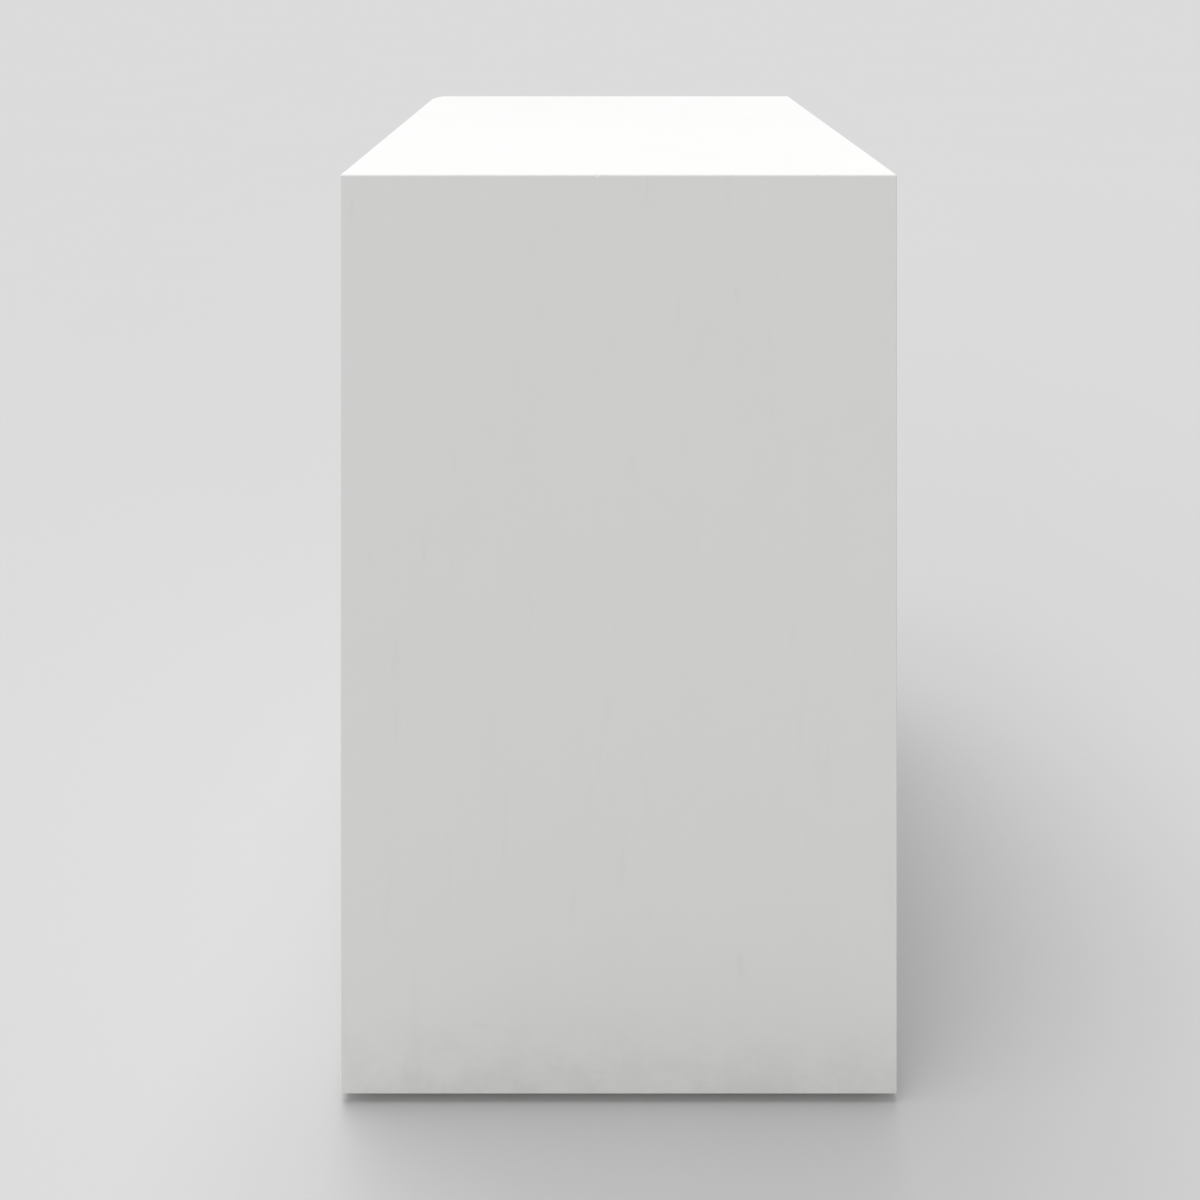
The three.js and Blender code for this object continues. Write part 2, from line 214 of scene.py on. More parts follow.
def white_paint(name="white_satin_paint", rear=False):
    """Satin lacquer on MDF: a fine orange peel over a faint roller texture, rubbed arrises, and dust and scuffs low down."""
    m = Nodes(name)
    p = m.coord
    x, y, z = m.xyz(p)
    ax, ay = m.math("ABSOLUTE", x), m.math("ABSOLUTE", y)
    # tone: a very slight unevenness between coats
    broad = m.noise(p, 2.3, 3, 0.55)
    mid = m.noise(m.scaled(p, (1.0, 1.0, 0.45)), 17.0, 4, 0.55)
    tone = m.math("MULTIPLY_ADD", broad, 0.5, m.math("MULTIPLY", mid, 0.5))
    colour = m.mix(tone, (0.866, 0.867, 0.856), (0.892, 0.894, 0.885))
    # handling marks on the sides: faint vertical rubs
    rub = m.noise(m.scaled(p, (9.0, 9.0, 1.3)), 5.0, 5, 0.62, 0.3)
    rub_mask = m.step(rub, 0.60, 0.74)
    colour = m.mix(m.math("MULTIPLY", rub_mask, 0.10), colour, (0.70, 0.69, 0.665))
    # dust and scuffs in the lowest 120 mm
    low = m.step(z, 0.012, 0.150, 1.0, 0.0)
    grime = m.noise(p, 21.0, 7, 0.62)
    grime_mask = m.math(
        "MULTIPLY", m.math("POWER", low, 2.2), m.step(grime, 0.36, 0.70)
    )
    colour = m.mix(m.math("MULTIPLY", grime_mask, 0.17), colour, (0.52, 0.50, 0.46))
    scuff = m.noise(m.scaled(p, (0.8, 0.8, 5.0)), 17.0, 3, 0.5, 1.1)
    hair = m.noise(m.scaled(p, (1.0, 1.0, 9.0)), 150.0, 5, 0.7, 0.6)
    scuff_mask = m.math(
        "MULTIPLY", m.step(z, 0.05, 0.19, 1.0, 0.0), m.step(scuff, 0.655, 0.760)
    )
    scuff_mask = m.math("MULTIPLY", scuff_mask, m.step(hair, 0.47, 0.66))
    colour = m.mix(m.math("MULTIPLY", scuff_mask, 0.30), colour, (0.40, 0.395, 0.385))
    # arrises rubbed a little thin: distance to the two nearest outside faces
    fx = m.math("SUBTRACT", HX, ax)
    fy = m.math("SUBTRACT", HY, ay)
    ft = m.math("SUBTRACT", Z1, z)
    fb = m.math("SUBTRACT", z, Z0)
    fz = m.math("MINIMUM", ft, fb)
    lo1 = m.math("MINIMUM", fx, fy)
    hi1 = m.math("MAXIMUM", fx, fy)
    second = m.math("MINIMUM", m.math("MAXIMUM", lo1, fz), hi1)
    worn = m.noise(p, 95.0, 5, 0.62)
    edge = m.step(second, 0.0006, 0.0026, 1.0, 0.0)
    edge_mask = m.math("MULTIPLY", edge, m.step(worn, 0.50, 0.72))
    colour = m.mix(m.math("MULTIPLY", edge_mask, 0.24), colour, (0.70, 0.68, 0.63))
    # the chips were painted over; their slight grey is painted shade in the dents, on top of the dents' real geometry
    # and bump
    chip_dent_and_shade = None
    for cx, half, depth in CHIPS:
        d = m.vec(
            "LENGTH",
            m.vec(
                "MULTIPLY",
                m.vec("SUBTRACT", p, (cx, -HY, Z1)),
                (1.0 / half, 1.0 / (depth * 1.5), 1.0 / (depth * 1.5)),
            ),
        )
        this = m.step(d, 0.70, 1.02, 1.0, 0.0)
        chip_dent_and_shade = this if chip_dent_and_shade is None else m.math("MAXIMUM", chip_dent_and_shade, this)
    # painted shade: the chip dents drawn a little greyer than the paint around them
    colour = m.mix(
        m.math("MULTIPLY", chip_dent_and_shade, m.step(worn, 0.30, 0.62, 0.05, 0.30)),
        colour,
        (0.60, 0.605, 0.60),
    )
    # satin, with rub marks that are a touch glossier and a dusty, duller foot
    r_noise = m.noise(p, 6.0, 4, 0.6)
    rough = m.step(r_noise, 0.3, 0.7, 0.33, 0.43)
    rough = m.math("ADD", rough, m.math("MULTIPLY", rub_mask, -0.05))
    rough = m.math("ADD", rough, m.math("MULTIPLY", grime_mask, 0.22), clamp=True)
    fine = m.noise(p, 620.0, 2, 0.45)
    roll = m.noise(p, 190.0, 3, 0.5)
    scratch = m.noise(m.scaled(p, (1.0, 14.0, 14.0)), 60.0, 2, 0.5, 0.4)
    normal = m.bump(fine, 0.000030, 0.55)
    normal = m.bump(roll, 0.000060, 0.50, normal)
    normal = m.bump(m.step(scratch, 0.72, 0.76), 0.000012, 0.35, normal)
    normal = m.bump(chip_dent_and_shade, 0.0002, 0.5, normal)
    return m.done(colour, rough, 0.0, normal, IOR=1.46, Specular_IOR_Level=0.22)


def raw_mdf(name="raw_mdf", panel=None):
    """Bare MDF: a warm brown felt of fine fibres, with white overspray at the open edges. panel is a loose panel's box."""
    m = Nodes(name)
    p = m.coord
    x, y, z = m.xyz(p)
    fibre = m.noise(m.scaled(p, (1.0, 1.0, 0.6)), 900.0, 6, 0.7)
    cloud = m.noise(p, 14.0, 4, 0.6)
    fleck = m.voronoi(m.scaled(p, (1.0, 1.0, 0.5)), 420.0)
    f = m.math("MULTIPLY_ADD", cloud, 0.35, m.math("MULTIPLY", fibre, 0.65))
    colour = m.ramp(
        f,
        (0.25, (0.235, 0.152, 0.085)),
        (0.50, (0.330, 0.225, 0.135)),
        (0.78, (0.440, 0.320, 0.205)),
    )
    colour = m.mix(m.step(fleck, 0.0, 0.16, 0.5, 0.0), colour, (0.16, 0.10, 0.055))
    if panel is None:
        spray = m.math(
            "MAXIMUM",
            m.step(y, HY - 0.018, HY - 0.004),
            m.step(z, Z0 + 0.004, Z0 + 0.012, 1.0, 0.0),
        )
    else:
        side = m.math("SUBTRACT", panel[1].x, m.math("ABSOLUTE", x))
        ends = m.math(
            "MINIMUM",
            m.math("SUBTRACT", z, panel[0].z),
            m.math("SUBTRACT", panel[1].z, z),
        )
        spray = m.step(m.math("MINIMUM", side, ends), 0.001, 0.013, 1.0, 0.0)
    mist = m.noise(p, 340.0, 6, 0.75)
    spray = m.math(
        "MULTIPLY", m.math("POWER", spray, 0.8), m.step(mist, 0.25, 0.62, 0.30, 1.0), clamp=True
    )
    colour = m.mix(m.math("MULTIPLY", spray, 0.88), colour, (0.84, 0.84, 0.82))
    return m.done(
        colour,
        m.step(cloud, 0.3, 0.7, 0.80, 0.92),
        0.0,
        m.bump(fibre, 0.00012, 0.6),
        IOR=1.4,
    )


def axes_of(m, along):
    """The object coordinates turned so that their Z runs along the grain."""
    x, y, z = m.xyz(m.coord)
    return {
        "x": m.combine(y, z, x),
        "y": m.combine(z, x, y),
        "z": m.combine(x, y, z),
    }[along]


def pine(name, along, centre, seed):
    """Planed pine, cut from a log whose pith runs beside the piece, so each face gets its own grain and the ends show rings."""
    m = Nodes(name)
    x, y, z = centre
    cx, cy = {"x": (y, z), "y": (z, x), "z": (x, y)}[along]
    off = (
        0.055 * math.cos(seed * 2.399) + cx,
        0.055 * math.sin(seed * 2.399) + cy,
    )
    q = axes_of(m, along)
    q0 = m.vec("SUBTRACT", q, (off[0], off[1], seed * 0.37))
    wander = m.noise(m.scaled(q0, (1.0, 1.0, 0.55)), 4.0, 2, 0.5)
    wander2 = m.noise(m.scaled(q0, (1.0, 1.0, 0.08)), 40.0, 3, 0.5)
    # knots: sparse cells stretched across the grain, which also push the rings aside
    cells = m.scaled(q0, (1.0, 1.0, 0.42))
    knot = m.voronoi(cells, 9.0, rand=0.9)
    push = m.step(knot, 0.04, 0.34, 1.0, 0.0)
    qx, qy, qz = m.xyz(q0)
    r = m.math("SQRT", m.math("ADD", m.math("POWER", qx, 2.0), m.math("POWER", qy, 2.0)))
    r = m.math("ADD", r, m.math("MULTIPLY", wander, 0.010))
    r = m.math("ADD", r, m.math("MULTIPLY", wander2, 0.0016))
    r = m.math("ADD", r, m.math("MULTIPLY", push, 0.006))
    ring = m.math("FRACT", m.math("MULTIPLY", r, 310.0))
    late = m.math(
        "MULTIPLY",
        m.step(ring, 0.30, 0.86),
        m.step(ring, 0.93, 0.995, 1.0, 0.0),
    )
    fibre = m.noise(m.scaled(q0, (1.0, 1.0, 0.012)), 1500.0, 3, 0.6)
    pore = m.noise(m.scaled(q0, (1.0, 1.0, 0.02)), 420.0, 4, 0.6)
    colour = m.mix(
        m.math("MULTIPLY", late, 0.80), (0.660, 0.475, 0.285), (0.420, 0.225, 0.090)
    )
    colour = m.mix(
        m.math("MULTIPLY", m.step(fibre, 0.35, 0.7), 0.26),
        colour,
        (0.78, 0.61, 0.41),
    )
    colour = m.mix(
        m.math("MULTIPLY", m.step(pore, 0.58, 0.72), 0.22),
        colour,
        (0.36, 0.20, 0.09),
    )
    core = m.step(knot, 0.030, 0.062, 1.0, 0.0)
    halo = m.step(knot, 0.05, 0.12, 1.0, 0.0)
    colour = m.mix(m.math("MULTIPLY", halo, 0.45), colour, (0.34, 0.16, 0.06))
    colour = m.mix(core, colour, (0.125, 0.052, 0.020))
    normal = m.bump(late, 0.00006, 0.6)
    normal = m.bump(fibre, 0.00004, 0.6, normal)
    rough = m.step(late, 0.0, 1.0, 0.66, 0.52)
    return m.done(colour, rough, 0.0, normal, IOR=1.45)


def birch_ply(name, thick, z_low, z_high, plies):
    """Birch plywood: pale rotary-cut face, and edges that show every ply and its glue line. thick is the axis across the plies."""
    m = Nodes(name)
    p = m.coord
    x, y, z = m.xyz(p)
    t = {"x": x, "y": y, "z": z}[thick]
    level = m.math(
        "MULTIPLY", m.math("SUBTRACT", t, z_low), plies / (z_high - z_low)
    )
    in_ply = m.math("FRACT", level)
    odd = m.math("FRACT", m.math("MULTIPLY", m.math("FLOOR", level), 0.5))
    crossing = m.math("GREATER_THAN", odd, 0.25)
    # end grain plies are darker and speckled, long grain ones paler and streaky
    streak = m.noise(m.scaled(p, (0.05, 0.05, 1.0)), 900.0, 3, 0.6)
    dots = m.noise(p, 1500.0, 4, 0.7)
    pale = m.mix(streak, (0.60, 0.45, 0.29), (0.74, 0.59, 0.41))
    dark = m.mix(dots, (0.30, 0.19, 0.10), (0.54, 0.38, 0.23))
    edge = m.mix(crossing, pale, dark)
    glue = m.math(
        "MAXIMUM", m.step(in_ply, 0.0, 0.10, 1.0, 0.0), m.step(in_ply, 0.92, 1.0)
    )
    edge = m.mix(m.math("MULTIPLY", glue, 0.55), edge, (0.12, 0.065, 0.03))
    # face veneer
    warp = m.noise(m.scaled(p, (2.0, 0.35, 1.0)), 3.2, 3, 0.5, 0.6)
    figure = m.math("FRACT", m.math("MULTIPLY", warp, 11.0))
    figure = m.step(figure, 0.10, 0.95)
    pores = m.noise(m.scaled(p, (1.0, 0.035, 1.0)), 700.0, 4, 0.6)
    face = m.mix(m.math("MULTIPLY", figure, 0.42), (0.735, 0.595, 0.425), (0.60, 0.445, 0.285))
    face = m.mix(
        m.math("MULTIPLY", m.step(pores, 0.56, 0.70), 0.35), face, (0.40, 0.27, 0.15)
    )
    n = m.geo.outputs["Normal"]
    nx, ny, nz = m.xyz(n)
    facing = m.math("ABSOLUTE", {"x": nx, "y": ny, "z": nz}[thick])
    colour = m.mix(m.step(facing, 0.60, 0.80), edge, face)
    normal = m.bump(pores, 0.00005, 0.5)
    return m.done(colour, m.step(pores, 0.3, 0.7, 0.55, 0.70), 0.0, normal, IOR=1.45)


def plated_steel(name, base, tint, r0, r1):
    """Bright plating over turned steel: soft colour shift, fine handling scratches, and dull spots."""
    m = Nodes(name)
    p = m.coord
    cloud = m.noise(p, 160.0, 3, 0.6)
    colour = m.mix(m.step(cloud, 0.3, 0.7), base, tint)
    spots = m.noise(p, 900.0, 4, 0.65)
    colour = m.mix(
        m.math("MULTIPLY", m.step(spots, 0.64, 0.78), 0.26),
        colour,
        tuple(c * 0.55 for c in base),
    )
    fine = m.noise(m.scaled(p, (1.0, 1.0, 7.0)), 1800.0, 2, 0.5)
    rough = m.step(m.noise(p, 420.0, 4, 0.65), 0.30, 0.72, r0, r1)
    return m.done(colour, rough, 1.0, m.bump(fine, 0.000006, 0.5))


def black_nylon(name="black_nylon"):
    """Moulded nylon with a fine spark texture and pale dust towards the floor."""
    m = Nodes(name)
    p = m.coord
    x, y, z = m.xyz(p)
    spark = m.noise(p, 2600.0, 3, 0.55)
    scuff = m.noise(m.scaled(p, (1.0, 1.0, 3.0)), 260.0, 5, 0.65)
    dust = m.math(
        "MULTIPLY", m.step(z, 0.001, 0.011, 1.0, 0.15), m.step(scuff, 0.46, 0.70)
    )
    colour = m.mix(
        m.math("MULTIPLY", dust, 0.22), (0.0185, 0.0188, 0.0200), (0.30, 0.29, 0.27)
    )
    rough = m.math("ADD", 0.46, m.math("MULTIPLY", dust, 0.30))
    return m.done(colour, rough, 0.0, m.bump(spark, 0.00005, 0.55), IOR=1.53)


# ================================================================ mesh building
def new_piece(name, verts, faces, body, stands_for, materials, face_mats=None, angle=38):
    me = bpy.data.meshes.new(name)
    bm = bmesh.new()
    vs = [bm.verts.new(v) for v in verts]
    for i, f in enumerate(faces):
        try:
            face = bm.faces.new([vs[k] for k in f])
        except ValueError:
            continue
        face.smooth = True
        if face_mats is not None:
            face.material_index = face_mats[i]
    bmesh.ops.remove_doubles(bm, verts=bm.verts, dist=2e-7)
    bmesh.ops.dissolve_degenerate(bm, edges=bm.edges, dist=1e-8)
    loose = [v for v in bm.verts if not v.link_faces]
    bmesh.ops.delete(bm, geom=loose, context="VERTS")
    bmesh.ops.recalc_face_normals(bm, faces=bm.faces)
    if bm.calc_volume(signed=True) < 0:
        bmesh.ops.reverse_faces(bm, faces=bm.faces)
    bm.to_mesh(me)
    bm.free()
    me.set_sharp_from_angle(angle=math.radians(angle))
    for m in materials:
        me.materials.append(m)
    ob = bpy.data.objects.new(name, me)
    bpy.context.scene.collection.objects.link(ob)
    w = ob.modifiers.new("even_normals", "WEIGHTED_NORMAL")
    w.mode = "FACE_AREA"
    w.keep_sharp = True
    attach(ob, body)
    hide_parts(*stands_for)
    return ob


def span(a, b, near_a=(), near_b=(), step=0.06, extra=()):
    """Row positions from a to b: extra rows at given distances from each end, and a coarse spacing between."""
    rows = {a, b}
    rows |= {a + d for d in near_a}
    rows |= {b - d for d in near_b}
    lo = a + max(near_a, default=0)
    hi = b - max(near_b, default=0)
    n = max(1, round((hi - lo) / step))
    rows |= {lo + (hi - lo) * i / n for i in range(n + 1)}
    rows |= set(extra)
    out = []
    for r in sorted(rows):
        if not out or r - out[-1] > 1e-6:
            out.append(r)
    return out


def lattice(us, vs, ws, place, mats, grooves=()):
    """The closed surface of a u, v, w lattice. mats gives each of the six sides its material: u0 u1 v0 v1 w0 w1.
    A groove is (side, from, to, deep): sunk by the vector deep into a v or w side, over the groove's rows of u."""
    index, verts, faces, face_mats = {}, [], [], []

    def vid(i, j, k):
        key = (i, j, k)
        if key not in index:
            index[key] = len(verts)
            verts.append(place(us[i], vs[j], ws[k]))
        return index[key]

    nu, nv, nw = len(us) - 1, len(vs) - 1, len(ws) - 1
    for side, i in (("u0", 0), ("u1", nu)):
        for j in range(nv):
            for k in range(nw):
                faces.append([vid(i, j, k), vid(i, j + 1, k), vid(i, j + 1, k + 1), vid(i, j, k + 1)])
                face_mats.append(mats[side])
    for side, j in (("v0", 0), ("v1", nv)):
        for i in range(nu):
            for k in range(nw):
                faces.append([vid(i, j, k), vid(i + 1, j, k), vid(i + 1, j, k + 1), vid(i, j, k + 1)])
                face_mats.append(mats[side])
    for side, k in (("w0", 0), ("w1", nw)):
        for i in range(nu):
            for j in range(nv):
                faces.append([vid(i, j, k), vid(i + 1, j, k), vid(i + 1, j + 1, k), vid(i, j + 1, k)])
                face_mats.append(mats[side])
    for side, a, b, deep in grooves:
        rows = [i for i in range(nu) if us[i] > GROOVE[0] - 1e-6 and us[i + 1] < GROOVE[1] + 1e-6]
        run, fixed = (ws, nv if side == "v1" else 0) if side[0] == "v" else (vs, nw if side == "w1" else 0)
        cols = [m for m in range(len(run) - 1) if run[m] > a - 1e-6 and run[m + 1] < b + 1e-6]
        rim = {}
        for i in rows:
            for m in cols:
                corners = [(i, m), (i + 1, m), (i + 1, m + 1), (i, m + 1)]
                ids = [vid(p, fixed, q) if side[0] == "v" else vid(p, q, fixed) for p, q in corners]
                gone = faces.index(ids) if ids in faces else faces.index([ids[0], ids[3], ids[2], ids[1]])
                faces.pop(gone)
                face_mats.pop(gone)
                for c in ids:
                    if c not in rim:
                        rim[c] = len(verts)
                        verts.append(verts[c] + deep)
                faces.append([rim[c] for c in ids])
                face_mats.append(mats[side])
                walls = [i == rows[0], m == cols[-1], i == rows[-1], m == cols[0]]
                for e, (c, d) in ((3, (ids[0], ids[1])), (2, (ids[1], ids[2])), (1, (ids[2], ids[3])), (0, (ids[3], ids[0]))):
                    if walls[e]:
                        faces.append([c, d, rim[d], rim[c]])
                        face_mats.append(mats[side])
    return verts, faces, face_mats


def clamp(v, a, b):
    return max(a, min(b, v))


def smooth(t):
    t = clamp(t, 0.0, 1.0)
    return t * t * (3 - 2 * t)


def envelope(p):
    """Rounds the outside edges of the plinth's box, then knocks and bruises it where the real one is knocked and bruised."""
    x, y, z = p
    c = (
        clamp(x, -HX + ARRIS, HX - ARRIS),
        clamp(y, -HY + ARRIS, HY - ARRIS),
        clamp(z, Z0 + ARRIS, Z1 - ARRIS),
    )
    v = Vector((x - c[0], y - c[1], z - c[2]))
    if v.length > ARRIS:
        v *= ARRIS / v.length
    x, y, z = c[0] + v.x, c[1] + v.y, c[2] + v.z
    # facets knocked off the front top arris
    s = (-(y + HY) + (z - Z1)) / math.sqrt(2)  # 0 on the sharp edge, less inside
    depth = 0.0
    for cx, half, d in CHIPS:
        t = (x - cx) / half
        if abs(t) < 1:
            ragged = 1 + 0.22 * noise.noise(Vector((x * 900, d * 3000, 1.7)))
            depth = max(depth, d * (1 - t * t) ** 0.6 * ragged)
    # a soft unevenness along the whole arris, as sanding by hand leaves
    depth = max(
        depth,
        0.00083 + 0.00005 * (1 + noise.noise(Vector((x * 38, 0.0, 9.1)))),
    )
    if s > -depth and y < 0 and z > Z1 - 0.01:
        move = s + depth
        y += move / math.sqrt(2)
        z -= move / math.sqrt(2)
    # the bruised back left corner: everything near it is pushed in, less and less with distance
    q = Vector(((x + HX) / 0.015, (HY - y) / 0.034, (Z1 - z) / 0.030))
    if q.length < 1:
        w = smooth(1 - q.length)
        x, y, z = x + 0.0031 * w, y - 0.0072 * w, z - 0.0010 * w
    return Vector((x, y, z))


def soften(a, b, r):
    """Rounds the corner where a = 0 and b = 0 meet; a and b are depths below the two faces."""
    if a < r and b < r:
        d = math.hypot(r - a, r - b)
        if d > r:
            return r - (r - a) * r / d, r - (r - b) * r / d
    return a, b


ARC = [ARRIS * math.tan(PI / 4 * k / 6) for k in range(7)]
PAST = [ARRIS + d for d in (0.0003, 0.0008, 0.0016, 0.0026)]
INNER = 0.0005
IN_ROWS = [INNER * math.tan(PI / 4 * k / 3) for k in range(4)]
BRUISE = [0.0035, 0.005, 0.0065, 0.008, 0.010, 0.012, 0.0145]
DEEP = BRUISE + [0.017, 0.020, 0.023, 0.026, 0.029, 0.032, 0.035]


# The tongues' grooves: where they cut the mitre, as depths behind the outside face, and how deep they go.
FREE = 0.3 * MM
GROOVE = tuple(TH - 6 * MM + k * (2 * MM + FREE) * math.sqrt(0.5) for k in (-1, 1))
SINK = (7 * MM + FREE) * math.sqrt(0.5)


def groove_run(tongue, axis):
    lo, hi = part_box(tongue)
    return lo[axis] - FREE, hi[axis] + FREE


def straightened(c, ends, groove, landing):
    """Row c of a mitre, between ends: left where it is along the groove, and brought round to the landings beyond it."""
    if c < groove[0]:
        return groove[0] - (groove[0] - c) * (groove[0] - landing[0]) / (groove[0] - ends[0])
    if c > groove[1]:
        return groove[1] + (c - groove[1]) * (landing[1] - groove[1]) / (ends[1] - groove[1])
    return c


def in_groove(t):
    return GROOVE[0] - 1e-6 < t < GROOVE[1] + 1e-6


def thickness_rows():
    # rows across the panel's edge: the outer arris, then the inner one
    return sorted(
        {ARRIS - a for a in ARC}
        | {0.0, ARRIS, ARRIS + 0.0004, *GROOVE}
        | {TH - INNER + r for r in IN_ROWS}
        | {TH - INNER - 0.0004, TH - INNER, TH}
    )


def edge_dist(rows):
    # distance from the sharp edge of rows whose tangent spacing gives even steps round the arc
    return sorted({ARRIS - r for r in rows} | {0.0})


NEAR = edge_dist(ARC) + PAST
chip_x = []
for cx, half, _ in CHIPS:
    n = max(8, round(half * 2 / 0.0003))
    chip_x += [cx - half * 1.15 + 2.3 * half * i / n for i in range(n + 1)]


def build_shell(paint, mdf):
    t_rows = thickness_rows()
    across = groove_run("tongue_top_front", 0)
    deep = groove_run("tongue_top_left", 1)
    up = groove_run("tongue_front_left", 2)

    # top: u is depth below the top face, v is x, w is y
    def top(t, x, y):
        fx = x * (HX - t) / HX
        fy = -HY + t + (y + HY) * (2 * HY - t) / (2 * HY)
        if in_groove(t) and y == -HY:
            fx = straightened(x, (-HX, HX), across, (t - HX, HX - t))
        if in_groove(t) and abs(x) == HX:
            fy = straightened(y, (-HY, HY), deep, (t - HY, HY))
        q = envelope((fx, fy, Z1 - t))
        b, a = soften(HY - q.y, q.z - (Z1 - TH), INNER)
        return Vector((q.x, HY - b, Z1 - TH + a))

    xs = span(-HX, HX, NEAR + BRUISE, NEAR + BRUISE, 0.05, chip_x + list(across))
    ys = span(-HY, HY, NEAR, NEAR + DEEP + IN_ROWS, 0.05, deep)
    v, f, fm = lattice(
        t_rows, xs, ys, top, {"u0": 0, "u1": 1, "v0": 1, "v1": 1, "w0": 1, "w1": 0},
        [
            ("v0", *deep, Vector((SINK, 0, SINK))),
            ("v1", *deep, Vector((-SINK, 0, SINK))),
            ("w0", *across, Vector((0, SINK, SINK))),
        ],
    )
    new_piece("top_panel_skin", v, f, "carcass", ["top_panel"], [paint, mdf], fm)

    # front: u is depth behind the front face, v is x, w is z
    def front(t, x, z):
        fx = x * (HX - t) / HX
        fz = Z0 + (z - Z0) * (Z1 - t - Z0) / (Z1 - Z0)
        if in_groove(t) and z == Z1:
            fx = straightened(x, (-HX, HX), across, (t - HX, HX - t))
        if in_groove(t) and abs(x) == HX:
            fz = straightened(z, (Z0, Z1), up, (Z0, Z1 - t))
        q = envelope((fx, -HY + t, fz))
        a, b = soften(-HY + TH - q.y, q.z - Z0, INNER)
        return Vector((q.x, -HY + TH - a, Z0 + b))

    xs = span(-HX, HX, NEAR + BRUISE, NEAR + BRUISE, 0.05, chip_x + list(across))
    zs = span(Z0, Z1, NEAR + IN_ROWS, NEAR, 0.055, up)
    v, f, fm = lattice(
        t_rows, xs, zs, front, {"u0": 0, "u1": 1, "v0": 1, "v1": 1, "w0": 0, "w1": 1},
        [
            ("v0", *up, Vector((SINK, -SINK, 0))),
            ("v1", *up, Vector((-SINK, -SINK, 0))),
            ("w1", *across, Vector((0, -SINK, -SINK))),
        ],
    )
    new_piece("front_panel_skin", v, f, "carcass", ["front_panel"], [paint, mdf], fm)

    # sides: u is depth behind the outside face, v is y, w is z
    for s, name in ((-1, "left_panel"), (1, "right_panel")):

        def side(t, y, z, s=s):
            fy = -HY + t + (y + HY) * (2 * HY - t) / (2 * HY)
            fz = Z0 + (z - Z0) * (Z1 - t - Z0) / (Z1 - Z0)
            if in_groove(t) and y == -HY:
                fz = straightened(z, (Z0, Z1), up, (Z0, Z1 - t))
            if in_groove(t) and z == Z1:
                fy = straightened(y, (-HY, HY), deep, (t - HY, HY))
            q = envelope((s * (HX - t), fy, fz))
            a, b = soften(abs(q.x) - (HX - TH), HY - q.y, INNER)
            a2, c = soften(a, q.z - Z0, INNER)
            return Vector((s * (HX - TH + a2), HY - b, Z0 + c))

        ys = span(-HY, HY, NEAR, NEAR + DEEP + IN_ROWS, 0.05, deep)
        zs = span(Z0, Z1, NEAR + IN_ROWS, NEAR + DEEP, 0.055, up)
        v, f, fm = lattice(
            t_rows, ys, zs, side, {"u0": 0, "u1": 1, "v0": 1, "v1": 0, "w0": 0, "w1": 1},
            [("v0", *up, Vector((s * SINK, SINK, 0))), ("w1", *deep, Vector((s * SINK, 0, -SINK)))],
        )
        new_piece(name + "_skin", v, f, "carcass", [name], [paint, mdf], fm)


# ---------------------------------------------------------------- slabs with rounded edges and holes
def offset_loop(loop, d):
    """A counter-clockwise loop of (a, b) moved outwards by d."""
    n, out = len(loop), []
    for i in range(n):
        p, q, r = Vector(loop[i - 1]), Vector(loop[i]), Vector(loop[(i + 1) % n])
        e1, e2 = (q - p).normalized(), (r - q).normalized()
        n1, n2 = Vector((e1.y, -e1.x)), Vector((e2.y, -e2.x))
        m = n1 + n2
        m = m / max(1e-9, m.length_squared) * 2
        out.append((q.x + m.x * d, q.y + m.y * d))
    return out


def rounded_rect(x0, y0, x1, y1, r, seg=6):
    pts = []
    for cx, cy, a0 in (
        (x1 - r, y1 - r, 0),
        (x0 + r, y1 - r, 90),
        (x0 + r, y0 + r, 180),
        (x1 - r, y0 + r, 270),
    ):
        for k in range(seg + 1):
            a = math.radians(a0 + 90 * k / seg)
            pts.append((cx + r * math.cos(a), cy + r * math.sin(a)))
    return pts


def ring(cx, cy, r, n=48):
    return [
        (cx + r * math.cos(2 * PI * k / n), cy + r * math.sin(2 * PI * k / n))
        for k in range(n)
    ]


def rounded_polygon(pts, r, seg=4):
    """Corners of a counter-clockwise outline rounded, inside and outside ones alike."""
    out, n = [], len(pts)
    for i in range(n):
        p, q, s = Vector(pts[i - 1]), Vector(pts[i]), Vector(pts[(i + 1) % n])
        u, v = (p - q).normalized(), (s - q).normalized()
        a, b = q + u * r, q + v * r
        c = q + (u + v) * r
        for k in range(seg + 1):
            t = k / seg * PI / 2
            w = c + (a - c) * math.cos(t) + (b - c) * math.sin(t)
            out.append((w.x, w.y))
    return out


